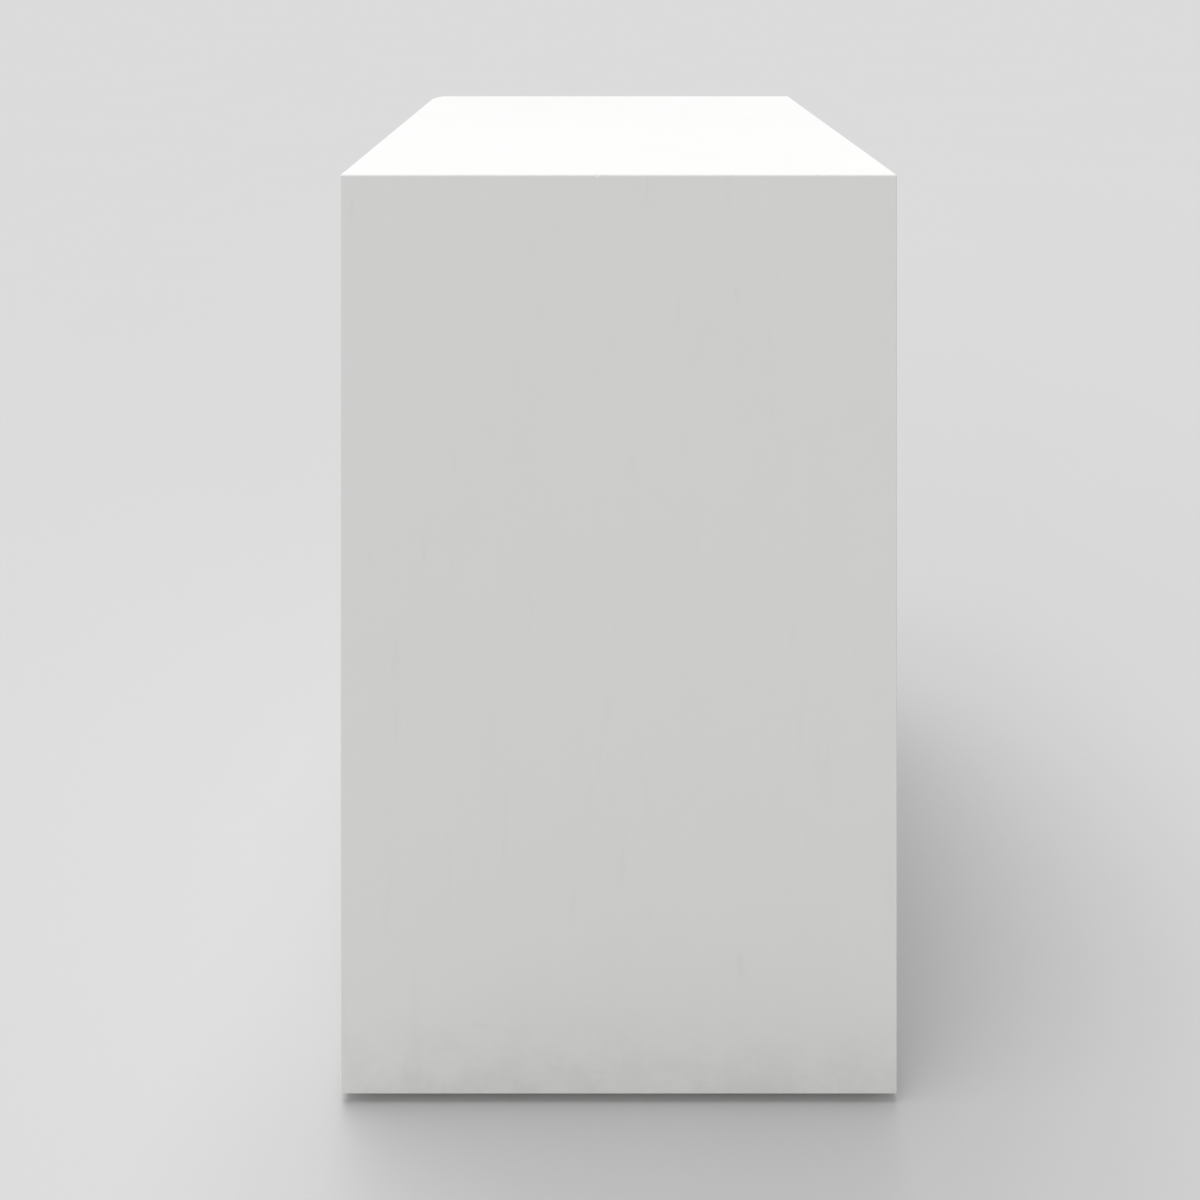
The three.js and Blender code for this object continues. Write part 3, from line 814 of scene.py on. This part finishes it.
def slab(outline, z0, z1, r, holes=(), seg=5, cell=None):
    """A plate between z0 and z1 with its edges rounded by r.
    Each hole is (loop, rings): rings are (z, growth) from the top face down, or from the bottom face up.
    A blind hole ends in a floor, a through one at z0."""
    verts, faces = [], []

    def add_loop(loop, z):
        start = len(verts)
        verts.extend((a, b, z) for a, b in loop)
        return list(range(start, start + len(loop)))

    def bridge(a, b):
        n = len(a)
        for i in range(n):
            faces.append([a[i], a[(i + 1) % n], b[(i + 1) % n], b[i]])

    rings = []
    for k in range(seg + 1):
        t = PI / 2 * k / seg
        rings.append((z0 + r * (1 - math.cos(t)), -r * (1 - math.sin(t))))
    for k in range(seg + 1):
        t = PI / 2 * k / seg
        rings.append((z1 - r * (1 - math.sin(t)), -r * (1 - math.cos(t))))
    loops = [add_loop(offset_loop(outline, d), z) for z, d in rings]
    for a, b in zip(loops, loops[1:]):
        bridge(a, b)
    top, bottom = [loops[-1]], [loops[0]]
    for loop, hole_rings in holes:
        made = [add_loop(offset_loop(loop, g), z) for z, g in hole_rings]
        for a, b in zip(made, made[1:]):
            bridge(a, b)
        (top if abs(hole_rings[0][0] - z1) < 1e-9 else bottom).append(made[0])
        if abs(hole_rings[-1][0] - z0) < 1e-9:
            bottom.append(made[-1])
        else:
            faces.append(made[-1])
    for group in (top, bottom):
        if len(group) == 1:
            faces.append(group[0])
            continue
        flat = [i for g in group for i in g]
        for tri in tessellate_polygon(
            [[Vector((verts[i][0], verts[i][1], 0)) for i in g] for g in group]
        ):
            faces.append([flat[k] for k in tri])
    return verts, faces


def hole_through(loop, z0, z1, e=0.0005, seg=3):
    rings = []
    for k in range(seg + 1):
        t = PI / 2 * k / seg
        rings.append((z1 - e * (1 - math.cos(t)), e * (1 - math.sin(t))))
    for k in range(seg + 1):
        t = PI / 2 * k / seg
        rings.append((z0 + e * (1 - math.sin(t)), e * (1 - math.cos(t))))
    return loop, rings


def turn(verts, axis):
    """Slab coordinates (a, b, up) laid so that up runs along x, y or z."""
    if axis == "z":
        return [Vector(v) for v in verts]
    if axis == "y":
        return [Vector((-v[0], v[2], v[1])) for v in verts]
    return [Vector((v[2], v[0], v[1])) for v in verts]


def board(name, body, material, r, holes=()):
    """A timber or board piece the size of its CAD node, with softened arrises."""
    lo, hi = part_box(name)
    outline = rounded_rect(lo.x, lo.y, hi.x, hi.y, r, 5)
    v, f = slab(outline, lo.z, hi.z, r * 0.8, holes)
    return new_piece(name + "_board", turn(v, "z"), f, body, [name], [material])


# ---------------------------------------------------------------- lofts: turned and hexagonal hardware
def circle(r, z, n):
    return [
        (r * math.cos(2 * PI * k / n), r * math.sin(2 * PI * k / n), z)
        for k in range(n)
    ]


def hex_radius(flats, a):
    a = (a + PI / 6) % (PI / 3) - PI / 6
    return flats / 2 / math.cos(a)


def hexagon(flats, z, n, limit=1e9):
    out = []
    for k in range(n):
        a = 2 * PI * k / n
        r = min(hex_radius(flats, a), limit)
        out.append((r * math.cos(a), r * math.sin(a), z))
    return out


def thread_loops(r_root, r_crest, pitch, z0, z1, n, rows=8, fade=0.0015):
    """Right-hand thread as a radius that climbs one pitch each turn, faded out at both ends."""
    out, steps = [], max(2, round((z1 - z0) / pitch * rows))
    for i in range(steps + 1):
        z = z0 + (z1 - z0) * i / steps
        k = min(1.0, (z - z0) / fade, (z1 - z) / fade)
        loop = []
        for j in range(n):
            a = 2 * PI * j / n
            f = (z / pitch - a / (2 * PI)) % 1.0
            h = clamp((0.5 - abs(f - 0.5)) * 2 * 1.6 - 0.28, 0.0, 1.0)
            r = r_root + (r_crest - r_root) * (h * k)
            loop.append((r * math.cos(a), r * math.sin(a), z))
        out.append(loop)
    return out


def loft(loops, closed=False):
    verts, faces = [], []
    n = len(loops[0])
    for loop in loops:
        verts.extend(loop)
    rows = len(loops)
    for i in range(rows if closed else rows - 1):
        j = (i + 1) % rows
        for k in range(n):
            faces.append([i * n + k, i * n + (k + 1) % n, j * n + (k + 1) % n, j * n + k])
    if not closed:
        faces.append(list(range(n)))
        faces.append([(rows - 1) * n + k for k in range(n)])
    return verts, faces


def fillet(p0, p1, p2, r, seg=4):
    """Points that round the corner p1 of a profile between p0 and p2."""
    a, b, c = Vector(p0), Vector(p1), Vector(p2)
    u, v = (a - b).normalized(), (c - b).normalized()
    half = u.angle(v) / 2
    t = min(r / math.tan(half), (a - b).length * 0.49, (c - b).length * 0.49)
    r = t * math.tan(half)
    centre = b + (u + v).normalized() * (r / math.sin(half))
    s, e = b + u * t - centre, b + v * t - centre
    out, w = [], s.angle(e)
    for k in range(seg + 1):
        q = k / seg
        d = (s * math.sin((1 - q) * w) + e * math.sin(q * w)) / math.sin(w)
        out.append((centre.x + d.x, centre.y + d.y))
    return out


def profile(points, radii):
    """(r, z) points in millimetres, each inner corner rounded by its radius."""
    out = []
    for i, p in enumerate(points):
        r = radii[i]
        if r and 0 < i < len(points) - 1:
            out += fillet(points[i - 1], p, points[i + 1], r)
        else:
            out.append(p)
    return out


def along_y(verts, at):
    return [Vector((v[0] + at[0], v[2] + at[1], -v[1] + at[2])) for v in verts]


def upright(verts, at):
    return [Vector((v[0] + at[0], v[1] + at[1], v[2] + at[2])) for v in verts]


# ================================================================ materials in use
PAINT = white_paint()
MDF = raw_mdf()
ZINC = plated_steel("zinc_plate", (0.620, 0.642, 0.672), (0.672, 0.676, 0.662), 0.26, 0.42)
NICKEL = plated_steel("nickel_plate", (0.700, 0.675, 0.625), (0.640, 0.640, 0.640), 0.16, 0.30)
NYLON = black_nylon()

build_shell(PAINT, MDF)

# ================================================================ access panel on the back
lo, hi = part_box("rear_access_panel")
bolts = {n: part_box(n) for n in frame["nodes"] if n.startswith("rear_bolt_")}
holes = []
for n, (a, b) in bolts.items():
    cx, cz = (a.x + b.x) / 2, (a.z + b.z) / 2
    seat = 9.2 * MM
    deep = hi.y - 2.12 * MM
    e = 0.5 * MM
    rings = [
        (hi.y - e * (1 - math.cos(PI / 2 * k / 4)), e * (1 - math.sin(PI / 2 * k / 4)))
        for k in range(5)
    ]
    rings += [(deep + 0.15 * MM, 0.0), (deep, -0.15 * MM)]
    rings += [(deep, -seat + 3.7 * MM), (deep - 0.3 * MM, -seat + 3.4 * MM)]
    rings += [(lo.y + 0.3 * MM, -seat + 3.4 * MM), (lo.y, -seat + 3.7 * MM)]
    holes.append((ring(-cx, cz, seat, 64), rings))
outline = rounded_rect(-hi.x, lo.z, -lo.x, hi.z, 1.0 * MM, 5)
v, f = slab(outline, lo.y, hi.y, 1.0 * MM, holes, 6)
v = turn(v, "y")
fm = []
for face in f:
    c = sum((v[i] for i in face), Vector()) / len(face)
    fm.append(1 if c.y < lo.y + 1e-6 else 0)
new_piece(
    "rear_access_panel_skin", v, f, "rear_panel", ["rear_access_panel"],
    [PAINT, raw_mdf("raw_mdf_rear", (lo, hi))], fm,
)


def bolt(name):
    """M6 furniture bolt: flat turned head with a 4 mm hex socket, right-hand thread, pointed a little at the tip."""
    a, b = bolts[name]
    at = ((a.x + b.x) / 2, HY, (a.z + b.z) / 2)
    n = 48
    h0, h1 = b.y - HY - 1.8 * MM, b.y - HY  # under and top of the head
    tip = a.y - HY
    loops = [circle(1.9 * MM, tip, n), circle(2.35 * MM, tip + 0.5 * MM, n)]
    loops += thread_loops(2.42 * MM, 2.95 * MM, 1.0 * MM, tip + 0.6 * MM, h0 - 3.2 * MM, n)
    loops += [circle(2.92 * MM, h0 - 3.0 * MM, n), circle(2.92 * MM, h0 - 0.3 * MM, n), circle(3.2 * MM, h0, n)]
    head = profile(
        [(3.2, 0), (8.5, 0), (8.5, 0.75), (7.5, 1.8), (3.4, 1.8)],
        [0, 0.15, 0.35, 0.5, 0],
    )
    loops += [circle(r * MM, h0 + z * MM, n) for r, z in head[1:]]
    for af, dz in ((4.5, 0), (4.2, -0.08), (4.0, -0.3), (4.0, -2.5)):
        loops.append(hexagon(af * MM, h1 + dz * MM, n))
    loops.append(circle(1.2 * MM, h1 - 2.9 * MM, n))
    v, f = loft(loops)
    new_piece(name + "_turned", along_y(v, at), f, "rear_panel", [name], [NICKEL], angle=32)


for n in bolts:
    bolt(n)


def rear_insert(name):
    """Threaded insert: coarse outside thread for the wood, fine M6 inside, chamfered mouth."""
    a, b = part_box(name)
    at = ((a.x + b.x) / 2, b.y, (a.z + b.z) / 2)
    n, length = 48, b.y - a.y
    loops = [circle(3.55 * MM, -0.0 * MM, n), circle(4.75 * MM, 0, n), circle(4.95 * MM, -0.2 * MM, n), circle(4.95 * MM, -1.2 * MM, n)]
    out = thread_loops(4.25 * MM, 4.98 * MM, 2.2 * MM, -length + 0.8 * MM, -1.3 * MM, n, 10, 0.0012)
    loops += out[::-1]
    loops += [circle(4.2 * MM, -length, n), circle(3.5 * MM, -length, n)]
    loops += thread_loops(3.50 * MM, 3.06 * MM, 1.0 * MM, -length + 0.3 * MM, -0.5 * MM, n, 6)
    v, f = loft(loops, closed=True)
    new_piece(name + "_turned", along_y(v, at), f, "carcass", [name], [ZINC], angle=32)


for n in frame["nodes"]:
    if n.startswith("rear_insert_"):
        rear_insert(n)

# ================================================================ levelling feet
FEET = [n[len("foot_pad_"):] for n in frame["nodes"] if n.startswith("foot_pad_")]


def foot(which):
    a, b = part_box("foot_pad_" + which)
    at = ((a.x + b.x) / 2, (a.y + b.y) / 2, 0.0)
    # moulded pad: ribbed sole, rounded skirt, snap-in mouth
    sole = [(0.0, 0.6), (1.6, 0.6), (2.2, 0)]
    for g in (7.0, 11.5, 16.0, 20.5):
        sole += [(g, 0), (g + 0.35, 0.7), (g + 1.15, 0.7), (g + 1.5, 0)]
    pts = sole + [
        (24.2, 0),
        (25.0, 0.9),
        (25.0, 4.8),
        (23.6, 6.6),
        (17.0, 11.6),
        (14.2, 12.6),
        (12.4, 14.0),
        (5.3, 14.0),
        (5.2, 12.0),
        (5.2, 8.5),
        (7.4, 8.2),
        (7.4, 3.0),
        (0.0, 3.0),
    ]
    rad = [0, 0.15, 0.15] + [0.12] * 16 + [0.5, 0.5, 1.2, 1.6, 2.6, 2.2, 0.8, 0.5, 0, 0.2, 0.2, 0.3, 0]
    prof = profile(pts, rad)
    v, f = loft([circle(r * MM, z * MM, 96) for r, z in prof])
    new_piece("foot_pad_%s_moulded" % which, upright(v, at), f, "pad_" + which, ["foot_pad_" + which], [NYLON], angle=30)

    # stem: snap-in disc, neck, 17 mm collar, M10 thread, hex socket in the end
    a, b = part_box("foot_stem_" + which)
    n = 48
    ins_lo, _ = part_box("foot_insert_" + which)
    c1 = ins_lo.z - 0.1 * MM
    c0 = c1 - 6 * MM
    low = profile(
        [(0.0, 3.1), (6.4, 3.1), (7.0, 3.7), (7.0, 7.4), (4.7, 7.6), (4.7, c0 / MM - 0.02)],
        [0, 0.1, 0.3, 0.3, 0.2, 0],
    )
    loops = [circle(r * MM, z * MM, n) for r, z in low]
    for lim, dz in ((8.25, 0.0), (8.6, 0.12), (9.2, 0.45), (9.9, 0.85)):
        loops.append(hexagon(17 * MM, c0 + dz * MM, n, lim * MM))
    for lim, dz in ((9.9, 0.85), (9.2, 0.45), (8.6, 0.12), (8.25, 0.0)):
        loops.append(hexagon(17 * MM, c1 - dz * MM, n, lim * MM))
    loops.append(circle(4.4 * MM, c1, n))
    loops += thread_loops(4.15 * MM, 4.95 * MM, 1.5 * MM, c1 + 0.2 * MM, b.z - 1.2 * MM, n)
    loops += [circle(4.1 * MM, b.z - 0.9 * MM, n), circle(3.55 * MM, b.z - 0.12 * MM, n), circle(3.3 * MM, b.z, n)]
    for af, dz in ((5.4, 0), (5.15, -0.1), (5.0, -0.4), (5.0, -6.2)):
        loops.append(hexagon(af * MM, b.z + dz * MM, n))
    loops.append(circle(1.5 * MM, b.z - 7.0 * MM, n))
    v, f = loft(loops)
    new_piece("foot_stem_%s_turned" % which, upright(v, at), f, "stem_" + which, ["foot_stem_" + which], [ZINC], angle=32)

    # flanged insert in the base board
    a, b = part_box("foot_insert_" + which)
    outer = profile(
        [(5.5, a.z / MM), (13.0, a.z / MM), (13.0, a.z / MM + 1.5), (6.0, a.z / MM + 1.5), (6.0, b.z / MM), (5.55, b.z / MM)],
        [0, 0.5, 0.2, 0.2, 0.3, 0],
    )
    loops = [circle(r * MM, z * MM, n) for r, z in outer]
    loops += thread_loops(5.55 * MM, 5.06 * MM, 1.5 * MM, a.z + 0.4 * MM, b.z - 0.3 * MM, n, 6)[::-1]
    v, f = loft(loops, closed=True)
    new_piece("foot_insert_%s_turned" % which, upright(v, at), f, "carcass", ["foot_insert_" + which], [ZINC], angle=32)


for w in FEET:
    foot(w)


# ================================================================ base board and its screws
def cross_loop(r, z, n, arm, width):
    out = []
    for k in range(n):
        a = 2 * PI * k / n
        q = (a + PI / 4) % (PI / 2) - PI / 4
        reach = arm / max(1e-6, math.cos(q)) if abs(math.tan(q)) * arm < width else width / abs(math.sin(q))
        reach = min(reach, r)
        out.append((reach * math.cos(a), reach * math.sin(a), z))
    return out


def base_screw(name):
    a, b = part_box(name)
    at = ((a.x + b.x) / 2, (a.y + b.y) / 2, a.z)
    n = 48
    loops = [
        cross_loop(9, 1.9 * MM, n, 0.9 * MM, 0.45 * MM),
        cross_loop(9, 1.1 * MM, n, 1.9 * MM, 0.5 * MM),
        cross_loop(9, 0.15 * MM, n, 2.3 * MM, 0.62 * MM),
        cross_loop(9, 0.0, n, 2.45 * MM, 0.75 * MM),
        circle(3.75 * MM, 0.0, n),
        circle(3.95 * MM, 0.08 * MM, n),
        circle(4.0 * MM, 0.3 * MM, n),
        circle(2.0 * MM, 2.7 * MM, n),
    ]
    loops += thread_loops(1.30 * MM, 1.95 * MM, 2.0 * MM, 3.2 * MM, 28.0 * MM, n, 10, 0.002)
    loops += [circle(0.75 * MM, 29.6 * MM, n), circle(0.08 * MM, 31.0 * MM, n)]
    v, f = loft(loops)
    new_piece(name + "_turned", upright(v, at), f, "carcass", [name], [ZINC], angle=32)


screws = [n for n in frame["nodes"] if n.startswith("base_screw_")]
for n in screws:
    base_screw(n)

lo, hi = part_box("base_board")
holes = []
half = 110 * MM
holes.append(
    hole_through(rounded_rect(-half, -half, half, half, 30 * MM, 12), lo.z, hi.z, 1.2 * MM)
)
for w in FEET:
    a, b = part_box("foot_insert_" + w)
    holes.append(
        hole_through(ring((a.x + b.x) / 2, (a.y + b.y) / 2, 6.3 * MM, 48), lo.z, hi.z, 0.2 * MM)
    )
for n in screws:
    a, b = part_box(n)
    # from the top face down: clear hole, then the countersink in the underside
    loop = ring((a.x + b.x) / 2, (a.y + b.y) / 2, 2.2 * MM, 32)
    holes.append((loop, [(hi.z, 0.0), (lo.z + 3.0 * MM, 0.0), (lo.z + 0.7 * MM, 2.2 * MM), (lo.z, 2.2 * MM)]))
outline = rounded_rect(lo.x, lo.y, hi.x, hi.y, 1.0 * MM, 4)
v, f = slab(outline, lo.z, hi.z, 0.6 * MM, holes)
new_piece(
    "base_board_ply", turn(v, "z"), f, "carcass", ["base_board"],
    [birch_ply("birch_ply_base", "z", lo.z, hi.z, 13)],
)

# ================================================================ diaphragm
lo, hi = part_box("mid_diaphragm")
notch = 44.5 * MM
px, nx_ = hi.x, hi.x - notch
pts = [
    (-nx_, -px), (nx_, -px), (nx_, -nx_), (px, -nx_), (px, nx_), (nx_, nx_),
    (nx_, px), (-nx_, px), (-nx_, nx_), (-px, nx_), (-px, -nx_), (-nx_, -nx_),
]
outline = rounded_polygon(pts, 1.5 * MM)
v, f = slab(
    outline, lo.z, hi.z, 0.5 * MM,
    [hole_through(ring(0, 0, 130 * MM, 160), lo.z, hi.z, 1.0 * MM)],
)
new_piece(
    "mid_diaphragm_ply", turn(v, "z"), f, "carcass", ["mid_diaphragm"],
    [birch_ply("birch_ply_mid", "z", lo.z, hi.z, 9)],
)

# ================================================================ softwood and tongues
seed = 1
for n in sorted(frame["nodes"]):
    lo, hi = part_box(n)
    d = hi - lo
    along = "xyz"[max(range(3), key=lambda i: d[i])]
    centre = tuple((lo + hi) / 2)
    if n.startswith("post_front"):
        board(n, "carcass", pine("pine_" + n, along, centre, seed), 2.2 * MM)
    elif n.startswith("post_rear"):
        holes = []
        for q in frame["nodes"]:
            if q.startswith("rear_insert_"):
                a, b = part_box(q)
                cx, cz = (a.x + b.x) / 2, (a.z + b.z) / 2
                if lo.x < cx < hi.x:
                    holes.append(
                        (
                            ring(-cx, cz, 5.25 * MM, 48),
                            [
                                (hi.y, 0.15 * MM),
                                (hi.y - 0.15 * MM, 0.0),
                                (a.y - 0.4 * MM, 0.0),
                                (a.y - 0.4 * MM, -1.65 * MM),
                                (hi.y - 27 * MM, -1.65 * MM),
                                (hi.y - 28.5 * MM, -4.6 * MM),
                            ],
                        )
                    )
        outline = rounded_rect(-hi.x, lo.z, -lo.x, hi.z, 2.0 * MM, 5)
        v, f = slab(outline, lo.y, hi.y, 2.2 * MM, holes)
        new_piece(
            n + "_board", turn(v, "y"), f, "carcass", [n],
            [pine("pine_" + n, along, centre, seed)],
        )
    elif n.startswith(("top_rail", "top_bearer", "cleat", "base_batten")):
        holes = []
        for q in screws:
            a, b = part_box(q)
            cx, cy = (a.x + b.x) / 2, (a.y + b.y) / 2
            if n.startswith("base_batten") and lo.x < cx < hi.x and lo.y < cy < hi.y:
                sides = [(lo.z, 0.0), (a.z + 28 * MM, 0.0), (a.z + 32 * MM, -2.1 * MM)]
                holes.append((ring(cx, cy, 2.2 * MM, 32), sides))
        board(n, "carcass", pine("pine_" + n, along, centre, seed), 1.4 * MM, holes)
    elif n.startswith("tongue_"):
        # loose tongues lie across the mitres, at 45 degrees
        t, w = 2 * MM, 7 * MM
        sign = {"tongue_front_left": -1, "tongue_front_right": 1, "tongue_top_left": -1, "tongue_top_right": 1}.get(n, 1)
        half_len = d["xyz".index(along)] / 2
        c = (lo + hi) / 2
        outline = rounded_rect(-w, -t, w, t, 0.5 * MM, 3)
        v, f = slab(outline, -half_len, half_len, 0.4 * MM)
        s = math.sqrt(0.5)
        placed = []
        for a, b, u in v:
            # a runs across the mitre, b is the tongue's thickness, u its length
            if along == "z":
                placed.append(c + Vector((s * (a * sign + b), s * (a - b * sign), u)) if sign > 0
                              else c + Vector((s * (a + b), s * (-a + b), u)))
            elif along == "x":
                placed.append(c + Vector((u, s * (a - b), s * (a + b))))
            else:
                placed.append(c + Vector((s * (a + b), u, s * (-sign * a + sign * b))))
        new_piece(
            n + "_ply", placed, f, "carcass", [n],
            [birch_ply("birch_ply_" + n, "z" if along != "z" else "x", -1.0, 1.0, 1400)],
        )
    else:
        continue
    seed += 1

# ================================================================ floor, light and camera
FLOOR_TONE = (0.606, 0.609, 0.606)
m = Nodes("pale_floor")
far = m.vec("LENGTH", m.vec("MULTIPLY", m.coord, (1.0, 1.0, 0.0)))
cloud = m.noise(m.coord, 1.1, 4, 0.6)
speck = m.noise(m.coord, 55.0, 3, 0.6)
tone = m.mix(m.math("MULTIPLY_ADD", cloud, 0.6, m.math("MULTIPLY", speck, 0.4)),
             tuple(c * 0.985 for c in FLOOR_TONE), tuple(c * 1.015 for c in FLOOR_TONE))
m.done(tone, 0.90, 0.0, None, IOR=1.2, Specular_IOR_Level=0.0)
bpy.ops.mesh.primitive_circle_add(vertices=128, radius=40.0, fill_type="NGON", location=(0, 0, 0))
floor = bpy.context.object
floor.name = "floor"
floor.data.materials.append(m.mat)
# The floor stays under the lowest foot: its height is the least of the four pads'.
drv = floor.driver_add("location", 2).driver
drv.type = "MIN"
for w in FEET:
    var = drv.variables.new()
    var.name = "pad_" + w
    var.type = "TRANSFORMS"
    var.targets[0].id = frame["bodies"]["pad_" + w]
    var.targets[0].transform_type = "LOC_Z"
    var.targets[0].transform_space = "WORLD_SPACE"

world = bpy.data.worlds.new("studio")
bpy.context.scene.world = world
world.use_nodes = True
t = world.node_tree
t.nodes.clear()
out = t.nodes.new("ShaderNodeOutputWorld")
path = t.nodes.new("ShaderNodeLightPath")


def world_mix(share, a, b):
    mix = t.nodes.new("ShaderNodeMixShader")
    t.links.new(share, mix.inputs[0])
    t.links.new(a.outputs[0], mix.inputs[1])
    t.links.new(b.outputs[0], mix.inputs[2])
    return mix


def background(colour, strength):
    b = t.nodes.new("ShaderNodeBackground")
    b.inputs[0].default_value = (*colour, 1)
    b.inputs[1].default_value = strength
    return b


# What lights the plinth, what it reflects, and what the camera sees behind it.
lit = background((0.995, 1.0, 1.0), 0.47)
mirrored = background((0.99, 1.0, 1.0), 0.78)
seen = background((0.7065, 0.7125, 0.7095), 1.0)
both = world_mix(path.outputs["Is Glossy Ray"], lit, mirrored)
t.links.new(world_mix(path.outputs["Is Camera Ray"], both, seen).outputs[0], out.inputs[0])


def soft_sun(name, towards, power, spread, colour=(1, 1, 1)):
    """A broad light from far away in the direction towards, so that it is even over the whole floor."""
    l = bpy.data.lights.new(name, "SUN")
    l.energy = power
    l.angle = math.radians(spread)
    l.color = colour
    o = bpy.data.objects.new(name, l)
    o.rotation_euler = Vector(towards).to_track_quat("Z", "Y").to_euler()
    bpy.context.scene.collection.objects.link(o)
    return o


# The ceiling's own highlight is left out, which would burn out the top seen from above.
soft_sun("ceiling", (-0.22, 0.16, 0.96), 1.97, 50).visible_glossy = False
soft_sun("window", (-0.74, -0.52, 0.43), 0.56, 60, (1.0, 0.996, 0.988))
soft_sun("room", (0.80, 0.45, 0.40), 0.14, 60, (0.985, 0.993, 1.0))

cam_data = bpy.data.cameras.new("camera")
cam = bpy.data.objects.new("camera", cam_data)
bpy.context.scene.collection.objects.link(cam)
bpy.context.scene.camera = cam
cam.location = (-0.020, -HY - 1.033, Z1 + 0.230)
cam.rotation_euler = (PI / 2, 0, 0)
cam_data.sensor_width = 36.0
cam_data.lens = 28.8
cam_data.clip_start, cam_data.clip_end = 0.05, 120.0
# A level camera whose lens is shifted down, so that uprights stay upright and the whole plinth is in the frame.
# The shift holds only at this viewpoint: from any other place the lens is centred.
SHIFT = -0.5326
viewpoint = bpy.data.objects.new("viewpoint", None)
viewpoint.location = cam.location
bpy.context.scene.collection.objects.link(viewpoint)
curve = cam_data.driver_add("shift_y")
curve.driver.type = "AVERAGE"
var = curve.driver.variables.new()
var.name = "away"
var.type = "LOC_DIFF"
var.targets[0].id = cam
var.targets[1].id = viewpoint
for mod in list(curve.modifiers):
    curve.modifiers.remove(mod)
for at, value in ((0.0, SHIFT), (0.05, 0.0)):
    curve.keyframe_points.insert(at, value).interpolation = "CONSTANT"
curve.update()

scene = bpy.context.scene
scene.view_settings.view_transform = "Standard"
scene.view_settings.look = "None"
scene.view_settings.exposure = 0.0
scene.view_settings.gamma = 1.0
